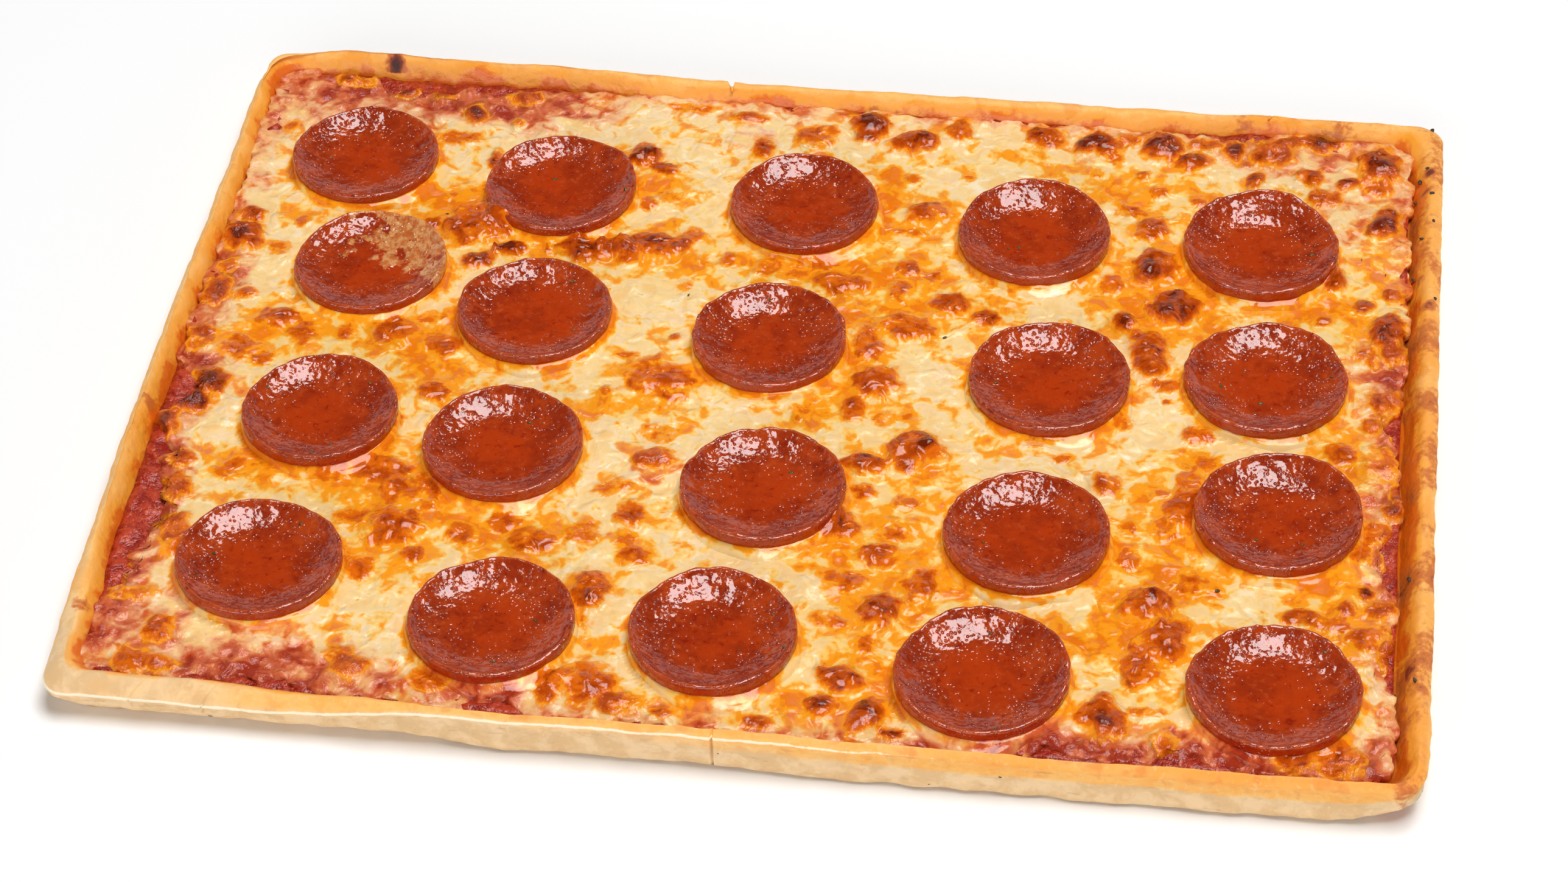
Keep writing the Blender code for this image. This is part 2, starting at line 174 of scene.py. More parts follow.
def tray_edge(x, y):
    """How far the rim's inner face stands from its mean place."""
    narrow = 2.0 * MM * ramp(x, -CRUST_LENGTH / 2 + 20 * MM, -CRUST_LENGTH / 2) * ramp(y, -110 * MM, -80 * MM)
    narrow += 1.8 * MM * ramp(y, -CRUST_WIDTH / 2 + 20 * MM, -CRUST_WIDTH / 2) * ramp(x, -120 * MM, -60 * MM)
    narrow += 2.2 * MM * at_back(y) * (ramp(x, -60 * MM, -90 * MM) + ramp(x, 90 * MM, 130 * MM))
    wide = 4.0 * MM * near_corner(x, y, 1, 1, 11 * MM) + 1.5 * MM * near_corner(x, y, -1, -1, 45 * MM)
    return wide - narrow + 0.8 * MM * wave(x, y, 26 * MM, 3)


def grain(x, y, size, seed):
    """Smooth unevenness over a surface, about -1 to 1, with lumps about size across."""
    across, along = x / size, y / size
    column, row = np.floor(across).astype(np.int64), np.floor(along).astype(np.int64)
    u, v = across - column, along - row

    def slope(dx, dy):
        """The pull of one corner of the lattice, in a direction mixed from its place and the seed."""
        mixed = (column + dx) * 374761393 + (row + dy) * 668265263 + seed * 974634777
        mixed = ((mixed ^ (mixed >> 13)) * 1274126177) & 0x7FFFFFFF
        angle = ((mixed ^ (mixed >> 16)) & 0xFFFF) / 65536 * 2 * math.pi
        return np.cos(angle) * (u - dx) + np.sin(angle) * (v - dy)

    fade_u, fade_v = u**3 * (u * (u * 6 - 15) + 10), v**3 * (v * (v * 6 - 15) + 10)
    low = slope(0, 0) * (1 - fade_u) + slope(1, 0) * fade_u
    high = slope(0, 1) * (1 - fade_u) + slope(1, 1) * fade_u
    return (low * (1 - fade_v) + high * fade_v) * 1.5


def outline_points():
    """Points round the crust, counter-clockwise, about a millimetre apart and closer at the cracks."""
    half_x, half_y = CRUST_LENGTH / 2, CRUST_WIDTH / 2
    xs = np.linspace(-half_x + CORNER_RADIUS, half_x - CORNER_RADIUS, POINTS_ALONG_LENGTH)
    sides = {-1: set(np.round(xs, 6)), 1: set(np.round(xs, 6))}
    for x, side, *_ in RIM_CRACKS:
        sides[side] |= set(np.round(np.linspace((x - 3) * MM, (x + 3) * MM, 25), 6))
    front, back = sorted(sides[-1]), sorted(sides[1])
    ys = np.linspace(-half_y + CORNER_RADIUS, half_y - CORNER_RADIUS, POINTS_ALONG_WIDTH)
    turns = np.linspace(0, math.pi / 2, POINTS_ROUND_CORNER + 2)[1:-1]
    left = [CORNER_RADIUS * (1 - math.cos(t)) for t in turns]  # how far in from the side that a corner leaves
    joined = [CORNER_RADIUS * (1 - math.sin(t)) for t in turns]  # and in from the one that it joins
    points = [(half_x, y) for y in ys] + [(half_x - a, half_y - b) for a, b in zip(left, joined)]
    points += [(x, half_y) for x in back[::-1]] + [(-half_x + b, half_y - a) for a, b in zip(left, joined)]
    points += [(-half_x, y) for y in ys[::-1]] + [(-half_x + a, -half_y + b) for a, b in zip(left, joined)]
    points += [(x, -half_y) for x in front] + [(half_x - b, -half_y + a) for a, b in zip(left, joined)]
    return np.array(points).T


def eased(rows, between):
    """Rows of a section with more rows between them, on a smooth curve through all of them."""
    rows = np.array(rows)
    padded = np.vstack([rows[0], rows, rows[-1]])
    out = []
    for k in range(1, len(padded) - 2):
        before, start, end, after = padded[k - 1 : k + 3]
        for step in range(between):
            t = step / between
            curve = 2 * start + (end - before) * t + (2 * before - 5 * start + 4 * end - after) * t * t
            out.append((curve + (3 * start - before - 3 * end + after) * t**3) / 2)
    out.append(rows[-1])
    return np.array(out)


def skin(name, verts, faces, marks, material):
    """A smooth piece from points and faces, with the marks that its finish reads painted on the points."""
    mesh = bpy.data.meshes.new(name)
    mesh.from_pydata([tuple(v) for v in verts], [], faces)
    for mark, values in marks.items():
        mesh.attributes.new(mark, "FLOAT", "POINT").data.foreach_set("value", np.asarray(values, np.float32))
    mesh.materials.append(material)
    mesh.shade_smooth()
    mesh.update()
    piece = bpy.data.objects.new(name, mesh)
    bpy.context.scene.collection.objects.link(piece)
    return piece


class Value:
    """A number or colour that changes over a surface. Arithmetic on it adds Math nodes to its recipe."""

    def __init__(self, recipe, socket):
        self.recipe = recipe
        self.socket = socket

    def math(self, operation, first, second=0.0):
        """One Math node on two values."""
        return self.recipe.node("ShaderNodeMath", {"operation": operation}, {0: first, 1: second})

    def __add__(self, other):
        return self.math("ADD", self, other)

    def __radd__(self, other):
        return self.math("ADD", other, self)

    def __sub__(self, other):
        return self.math("SUBTRACT", self, other)

    def __rsub__(self, other):
        return self.math("SUBTRACT", other, self)

    def __mul__(self, other):
        return self.math("MULTIPLY", self, other)

    def __rmul__(self, other):
        return self.math("MULTIPLY", other, self)

    def __truediv__(self, other):
        return self.math("DIVIDE", self, other)

    def __pow__(self, other):
        return self.math("POWER", self, other)

    def largest(self, other):
        return self.math("MAXIMUM", self, other)

    def smallest(self, other):
        return self.math("MINIMUM", self, other)

    def between(self, start, end, low=0.0, high=1.0):
        """low at start, high at end, and smooth between them."""
        settings = {"interpolation_type": "SMOOTHSTEP"}
        return self.recipe.node("ShaderNodeMapRange", settings, {0: self, 1: start, 2: end, 3: low, 4: high})


class Recipe:
    """The nodes of one finish, or of one shape that is made by a rule."""

    def __init__(self, tree):
        self.tree = tree

    def node(self, kind, settings=None, inputs=None, output=0):
        """A node of any kind, with its settings and the values or links of its sockets."""
        made = self.tree.nodes.new(kind)
        for key, setting in (settings or {}).items():
            if key == "curve":
                line = made.mapping.curves[0]
                for index, (place, level) in enumerate(setting):
                    point = line.points[index] if index < 2 else line.points.new(place, level)
                    point.location = (place, level)
                made.mapping.update()
            else:
                setattr(made, key, setting)
        for key, given in (inputs or {}).items():
            if isinstance(given, Value):
                self.tree.links.new(given.socket, made.inputs[key])
            else:
                made.inputs[key].default_value = given
        return Value(self, made.outputs[output])

    def mark(self, name):
        """One of the marks painted on the piece's points."""
        return self.node("ShaderNodeAttribute", {"attribute_name": name}, output="Fac")

    def lumps(self, size, detail=2.0, roughness=0.5, seed=0.0, stretch=(1.0, 1.0, 1.0), distortion=0.0):
        """Unevenness from 0 to 1 with lumps about size metres across."""
        place = self.node("ShaderNodeTexCoord", output="Object")
        shift = (seed, seed * 0.7, seed * 0.3)
        moved = self.node("ShaderNodeMapping", {}, {"Vector": place, "Location": shift, "Scale": stretch})
        look = {"Scale": 1 / size, "Detail": detail, "Roughness": roughness, "Distortion": distortion}
        return self.node("ShaderNodeTexNoise", {}, {"Vector": moved, **look})

    def part(self, vector, index):
        """One number of a vector: 0 for x, 1 for y, 2 for z."""
        return self.node("ShaderNodeSeparateXYZ", {}, {0: vector}, output=index)

    def finish(self, shape, material):
        """Ends a rule: the shape made real, in its material, is what the rule gives."""
        real = self.node("GeometryNodeRealizeInstances", {}, {"Geometry": shape})
        real = self.node("GeometryNodeSetMaterial", {}, {"Geometry": real, "Material": material})
        out = self.tree.nodes.new("NodeGroupOutput")
        self.tree.links.new(real.socket, out.inputs[0])

    def blend(self, share, first, second):
        """The first colour where share is 0 and the second where it is 1."""
        settings = {"data_type": "RGBA", "blend_type": "MIX", "clamp_factor": True}
        return self.node("ShaderNodeMix", settings, {0: share, 6: first, 7: second}, output=2)

    def layered(self, colour, layers):
        """A colour with others laid over it. Each shows where its value passes from start to end."""
        for value, start, end, strength, shade in layers:
            colour = self.blend(value.between(start, end) * strength, colour, tint(*shade))
        return colour

    def relief(self, height, depth):
        """A bumped surface direction from a height, depth metres for a height of 1."""
        return self.node("ShaderNodeBump", {}, {"Height": height, "Distance": depth, "Strength": 1.0})


def tint(red, green, blue):
    """A colour as it looks on a screen, 0 to 255."""
    parts = [c / 255 for c in (red, green, blue)]
    return (*[c / 12.92 if c <= 0.04045 else ((c + 0.055) / 1.055) ** 2.4 for c in parts], 1.0)


def new_finish(name):
    """An empty material: its recipe and the socket names of its surface shader."""
    material = bpy.data.materials.new(name)
    material.use_nodes = True
    return material, Recipe(material.node_tree), material.node_tree.nodes["Principled BSDF"]


def surface(recipe, shader, **parts):
    """Sets the surface shader's sockets, by their names with the spaces left out."""
    for name, given in parts.items():
        socket = next(s for s in shader.inputs if s.name.replace(" ", "") == name)
        if isinstance(given, Value):
            recipe.tree.links.new(given.socket, socket)
        else:
            socket.default_value = given


def dough_finish():
    """Baked dough: golden and oily by the cheese, pale and floury on the cut sides, with toasted flecks."""
    material, recipe, shader = new_finish("dough")
    baked, flour, oily, toast = (recipe.mark(name) for name in ("baked", "flour", "oily", "toast"))
    broad = recipe.lumps(0.021, 3.0, 0.55)
    patches = recipe.lumps(0.0065, 3.0, 0.6, 3.0, distortion=0.4)
    fine = recipe.lumps(0.0017, 3.0, 0.6, 5.0)
    pale = recipe.blend(patches.between(0.38, 0.62), tint(226, 186, 134), tint(240, 205, 158))
    golden = recipe.blend(patches.between(0.36, 0.64), tint(249, 176, 80), tint(253, 198, 112))
    level = baked + (broad - 0.5) * 0.8 + (patches - 0.5) * 0.4
    oil = oily * 1.15 + (broad - 0.5) * 0.5 + (patches - 0.5) * 1.1 + (fine - 0.5) * 0.4
    browned = toast + ((fine - 0.5) * 0.9 + (patches - 0.5) * 0.8) * toast.between(0.02, 0.3)
    floured = flour + (fine - 0.5) * 0.7
    layers = (
        (level, 0.8, 1.3, 0.8, (248, 150, 36)),
        (patches, 0.5, 0.68, level.between(0.4, 0.9) * 0.5, (226, 134, 50)),
        (fine, 0.56, 0.74, 0.35, (255, 216, 150)),
        (oil, 0.25, 0.7, 0.75, (246, 160, 34)),
        (oil, 0.75, 1.05, 0.85, (226, 100, 14)),
        (browned, 0.25, 0.6, 1.0, (206, 112, 42)),
        (browned, 0.6, 1.0, 1.0, (128, 52, 26)),
        (browned, 1.0, 1.4, 1.0, (70, 30, 28)),
        (floured, 0.4, 0.7, 0.85, (252, 240, 212)),
    )
    colour = recipe.layered(recipe.blend(level.between(0.15, 0.75), pale, golden), layers)
    pores = recipe.lumps(0.0034, 2.0, 0.5, 8.0, (0.5, 0.5, 1.2))
    side = recipe.mark("side")
    height = fine * (0.22 + side * 0.3) + patches * 0.45 - (1 - pores.between(0.26, 0.5)) * side * 0.45
    surface(
        recipe, shader,
        BaseColor=colour,
        Roughness=(0.62 - oil.between(0.3, 0.9) * 0.32 + (fine - 0.5) * 0.15),
        Normal=recipe.relief(height, 0.9 * MM),
        SubsurfaceWeight=0.15,
        SubsurfaceRadius=(1.0, 0.5, 0.25),
        SubsurfaceScale=0.003,
    )
    return material


def crust_skin():
    """The crust: the rim's section swept round the outline, kept inside the solid's box, with its marks."""
    x, y = outline_points()
    count = len(x)
    sway = wave(x, y, 17 * MM, 1)
    bob = wave(x, y, 30 * MM, 2)
    bulge, lift, drop = outline_bulge(x, y), corner_lift(x, y), lip_drop(x, y)
    spread, tray = foot_spread(x, y), tray_edge(x, y)
    front, back = at_front(y), at_back(y)
    right = ramp(x, 0.5 * CRUST_LENGTH - 14 * MM, 0.5 * CRUST_LENGTH - 4 * MM)
    around = np.cumsum(np.hypot(np.diff(x, prepend=x[-1]), np.diff(y, prepend=y[-1])))
    crack = np.zeros(count)
    for crack_x, side, width, depth in RIM_CRACKS:
        on_side = (front if side < 0 else back) > 0.9
        crack += on_side * depth * MM * np.clip(1 - abs(x - crack_x * MM) / (width * MM / 2), 0, 1)
    rows = eased(RIM_SECTION, RINGS_BETWEEN)
    verts, marks = [], {"baked": [], "flour": [], "oily": [], "side": [], "toast": []}
    for inset, height, lifted, dropped, out, trayed, swayed, bobbed in rows:
        fine = grain(around, np.full(count, height * 0.7 * MM), 7 * MM, 21) * 0.28 * MM
        fine += grain(around, np.full(count, height * 1.4 * MM), 2.6 * MM, 22) * 0.14 * MM
        scallop = abs(grain(around, np.zeros(count), 13 * MM, 23)) * 0.8 * MM * max(0, 1 - height / 5)
        reach = inset * MM + RIM_SWAY * swayed * sway - bulge - out * spread + trayed * tray + fine + scallop
        reach += crack * (1.0 if height > 0.6 else 0.2) * (1 - trayed)
        px = x * (1 - 2 * reach / CRUST_LENGTH)
        py = y * (1 - 2 * reach / CRUST_WIDTH)
        top = height * MM + RIM_BOB * bobbed * bob + lifted * lift - dropped * drop
        if height > 11 and inset < 6:
            top = top + grain(px, py, 11 * MM, 24) * 0.35 * MM + grain(px, py, 4 * MM, 25) * 0.14 * MM
        top = np.maximum(top, 0) if height > 0 else top * 0
        verts.append(np.column_stack((px + CRUST_SHIFT.x, py + CRUST_SHIFT.y, top)))
        over = np.interp(inset, (0.1, 1.2), (0, 1)) if height > 11.5 or inset > 4.6 else 0.0
        side_tone = np.interp(height, (0, 1.5, 6, 10, 11.6), (0.2, 0.05, 0.0, 0.15, 0.3))
        upper = np.interp(height, (6.5, 8.5), (0.0, 1))
        side_tone = side_tone + 0.75 * front * ramp(x, -70 * MM, 90 * MM) * upper + 0.6 * (1 - front)
        rim_tone = 0.7 + 0.25 * np.interp(inset, (1.5, 3.5, 6), (0.6, 0.6, 1.0)) + 0.2 * right
        left = ramp(x, -0.5 * CRUST_LENGTH + 14 * MM, -0.5 * CRUST_LENGTH + 4 * MM)
        rim_tone = rim_tone - 0.35 * left * np.interp(inset, (2.5, 4.5), (1.0, 0.0))
        rim_tone = rim_tone - 0.5 * front * ramp(x, -90 * MM, -150 * MM)
        rim_tone = rim_tone + 0.08 * front * ramp(x, -100 * MM, 0) + 0.2 * front * ramp(x, 60 * MM, 150 * MM)
        marks["baked"].append(side_tone * (1 - over) + rim_tone * over)
        lip = math.exp(-(((inset - 0.2) / 0.4) ** 2 + ((height - 11.8) / 0.5) ** 2)) if height > 10 else 0
        marks["flour"].append(lip * (0.2 + 0.75 * front * ramp(x, 90 * MM, 0)) + 0.2 * (height < 1.0))
        wet = np.interp(inset, (3.0, 5.0, 7.5), (0.0, 0.45, 0.9)) * over
        stains = 0.35 * grain(px, py, 15 * MM, 26) + 0.2 * right + 0.15 * front
        marks["oily"].append(np.clip(wet + stains * (wet > 0.05), 0, 1.2))
        marks["side"].append(np.full(count, 1.0 if 0.5 < height < 11 and inset < 2 else 0.0))
        flecks = right * (0.34 + 0.5 * grain(px, py, 16 * MM, 27))
        flecks = flecks + 0.25 * (1 - front) * grain(px, py, 20 * MM, 28)
        marks["toast"].append(np.clip(flecks, 0, 1) * (0.55 if height < 9 and inset < 2 else 1.0))
    verts = np.clip(np.vstack(verts), *[np.array(corner) for corner in cad_box])
    marks = {name: np.concatenate(values) for name, values in marks.items()}
    for spot_x, spot_y, reach, dark in TOASTED_SPOTS:
        spot = bump_at(verts[:, 0], verts[:, 1], spot_x * MM, spot_y * MM, reach * MM)
        marks["toast"] = np.maximum(marks["toast"], dark * spot * (verts[:, 2] > 9 * MM))
    faces = []
    for ring in range(len(rows) - 1):
        low, high = ring * count, (ring + 1) * count
        faces += [(low + k, low + (k + 1) % count, high + (k + 1) % count, high + k) for k in range(count)]
    faces.append(tuple(range(count))[::-1])
    faces.append(tuple(range((len(rows) - 1) * count, len(rows) * count)))
    return skin("baked_crust", verts, faces, marks, dough_finish())


crust = crust_skin()
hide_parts("crust")
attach(crust, "root")


# The sauce
# Cooked crushed tomato, spread thin on the dough. It shows as red, wet and pulpy patches between
# the rim and the cheese, most of all along the left side, and is hidden everywhere else.

SAUCE_INSET = 7.0 * MM
SAUCE_TOP = 7.6 * MM
SAUCE_UNDERSIDE = 5.7 * MM
SAUCE_SHOWS = 26 * MM  # how far in from the tray's edge the sauce keeps its lumps
SAUCE_SPACING = 1.6 * MM  # between the points of its sheet
WIDER_AT_RIGHT = 2.4 * MM  # how much wider the bare rim is along the right side


def rounded_grid(length, width, radius, spacing):
    """Points of a grid over a rectangle with rounded corners, row by row, with its faces and its border."""
    columns, rows = int(length / spacing) + 1, int(width / spacing) + 1
    u, v = np.meshgrid(np.linspace(-1, 1, columns), np.linspace(-1, 1, rows))
    x, y = u * length / 2, v * width / 2
    into_x = np.clip((abs(x) - (length / 2 - radius)) / radius, 0, 1)
    into_y = np.clip((abs(y) - (width / 2 - radius)) / radius, 0, 1)
    round_x = into_x * np.sqrt(1 - into_y**2 / 2)
    round_y = into_y * np.sqrt(1 - into_x**2 / 2)
    x = np.where(into_x > 0, np.sign(x) * (length / 2 - radius + round_x * radius), x)
    y = np.where(into_y > 0, np.sign(y) * (width / 2 - radius + round_y * radius), y)
    index = np.arange(rows * columns).reshape(rows, columns)
    corners = (index[:-1, :-1], index[:-1, 1:], index[1:, 1:], index[1:, :-1])
    faces = np.column_stack([corner.ravel() for corner in corners])
    rim = np.concatenate([index[0, :-1], index[:-1, -1], index[-1, :0:-1], index[:0:-1, 0]])
    return x.ravel(), y.ravel(), faces, rim


def pulled_edge(x, y, length, width, inset):
    """Moves the points near a sheet's border inwards by inset, which may differ from place to place."""
    reach = 12 * MM
    inset = inset + WIDER_AT_RIGHT * ramp(x, length / 2 - 30 * MM, length / 2 - 2 * MM)
    side_x, side_y = length / 2 - abs(x), width / 2 - abs(y)
    pull_x, pull_y = ramp(side_x, reach, 0), ramp(side_y, reach, 0)
    return x - np.sign(x) * pull_x * inset, y - np.sign(y) * pull_y * inset


def sheet(name, x, y, top, faces, rim, underside, marks, material):
    """A closed sheet: the given top, a wall down from its border, and a flat underside."""
    count = len(x)
    verts = np.column_stack((x, y, top))
    lower = np.column_stack((x[rim], y[rim], np.full(len(rim), underside)))
    ring = np.arange(len(rim))
    after = np.roll(ring, -1)
    wall = np.column_stack((rim[after], rim[ring], count + ring, count + after))
    all_faces = [tuple(f) for f in faces.tolist()] + [tuple(f) for f in wall.tolist()]
    all_faces.append(tuple((count + ring[::-1]).tolist()))
    marks = {mark: np.concatenate((values, values[rim])) for mark, values in marks.items()}
    return skin(name, np.vstack((verts, lower)), all_faces, marks, material)


def sauce_finish():
    """Wet crushed tomato: red pulp with paler bits and dark seams between them."""
    material, recipe, shader = new_finish("tomato_sauce")
    pulp = recipe.lumps(0.0042, 3.0, 0.6, 2.0, distortion=0.5)
    bits = recipe.lumps(0.0012, 3.0, 0.6, 4.0)
    colour = recipe.blend(pulp.between(0.38, 0.62), tint(150, 30, 16), tint(190, 62, 34))
    layers = (
        (bits, 0.52, 0.7, 0.5, (216, 104, 58)),
        (bits, 0.45, 0.3, 0.5, (112, 14, 10)),
    )
    surface(
        recipe, shader,
        BaseColor=recipe.layered(colour, layers),
        Roughness=0.2 + (bits - 0.5) * 0.2,
        Normal=recipe.relief(pulp * 0.7 + bits * 0.3, 1.4 * MM),
    )
    return material


def sauce_skin():
    """The sauce: a lumpy sheet that rises a little towards the rim, and lies low where cheese covers it."""
    length, width = CRUST_LENGTH - 2 * SAUCE_INSET, CRUST_WIDTH - 2 * SAUCE_INSET
    x, y, faces, rim = rounded_grid(length, width, 8 * MM, SAUCE_SPACING)
    from_edge = np.minimum(length / 2 - abs(x), width / 2 - abs(y))
    x, y = pulled_edge(x, y, length, width, tray_edge(x, y))
    lumps = 0.7 * MM * grain(x, y, 6 * MM, 31) + 0.4 * MM * grain(x, y, 2.6 * MM, 32)
    rise = 0.7 * MM * ramp(from_edge, 22 * MM, 8 * MM) + 0.6 * MM * ramp(from_edge, 8 * MM, 0)
    top = SAUCE_TOP + lumps * 1.2 + rise
    top = np.where(from_edge > SAUCE_SHOWS, SAUCE_TOP - 1.2 * MM, top)
    place = (x + CRUST_SHIFT.x, y + CRUST_SHIFT.y)
    return sheet("red_sauce", *place, top, faces, rim, SAUCE_UNDERSIDE, {}, sauce_finish())


sauce = sauce_skin()
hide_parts("sauce")
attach(sauce, "root")


# The melted cheese
# Shredded mozzarella melted into one sheet: cream white where it is thick, yellow orange where the
# pepperoni's oil has run into it, pink where the sauce shines through near the rim, and raised in
# browned blisters. Warm oil stands round the slices in shallow pools with rounded edges.

CHEESE_INSET = 6.5 * MM
CHEESE_TOP = 9.7 * MM
CHEESE_UNDERSIDE = 7.2 * MM
CHEESE_LENGTH = CRUST_LENGTH - 2 * CHEESE_INSET
CHEESE_WIDTH = CRUST_WIDTH - 2 * CHEESE_INSET
CHEESE_SPACING = 1.02 * MM  # between the points of its sheet
OIL_EDGE_STEPS = 160  # points round each slice's oil edge
OIL_EDGE_ROWS = 11
OIL_EDGE_START = 1.6 * MM  # how far under the slice it begins
SLICE_COUNT = 20
POOL_RISE = 0.55 * MM  # how high the pools round the slices stand over the cheese

# Bays in the cheese's edge where the sauce shows: x, y, reach across and along, depth, in millimetres.
SAUCE_BAYS = (
    (-172, -66, 12, 17, 11), (-172, -42, 9, 9, 5), (-171, -16, 10, 7, 9), (-138, -127, 6, 7, 3),
    (-120, -128, 11, 6, 4), (-174, -90, 8, 7, 6), (-116, 129, 22, 7, 5), (-135, 130, 8, 6, 5),
    (82, -130, 14, 5, 3), (118, -129, 9, 6, 5), (112, 129, 14, 5, 3), (173, -50, 7, 14, 4),
    (172, 4, 6, 9, 3), (170, -86, 6, 8, 3), (-60, -129, 7, 4, 3),
)

# Where the cheese is thin and pink from the sauce: x, y, reach across and along in millimetres, strength.
THIN_PATCHES = (
    (-125, 121, 34, 13, 1.0), (-158, 116, 14, 16, 0.7), (-84, 117, 16, 9, 0.7), (-26, 113, 16, 7, 0.5),
    (-168, 30, 7, 24, 0.8), (-165, -12, 12, 15, 0.9), (-170, -70, 11, 26, 1.0), (-160, -106, 17, 15, 0.8),
    (-128, -119, 24, 11, 1.1), (-99, -119, 12, 8, 0.8), (-62, -124, 14, 6, 0.7), (92, -125, 24, 7, 0.9),
    (130, -124, 24, 7, 1.0), (158, -122, 14, 10, 0.9), (166, -50, 9, 34, 0.7), (165, 6, 10, 22, 0.8),
    (162, 32, 8, 12, 0.7), (158, 100, 13, 16, 0.7), (130, 119, 28, 9, 0.9), (-33, -34, 11, 9, 0.55),
    (-43, -60, 11, 8, 0.45), (72, 113, 9, 6, 0.45), (152, 78, 8, 9, 0.5), (-157, -78, 6, 9, 0.9),
    (-104, 118, 18, 8, 0.7),
)

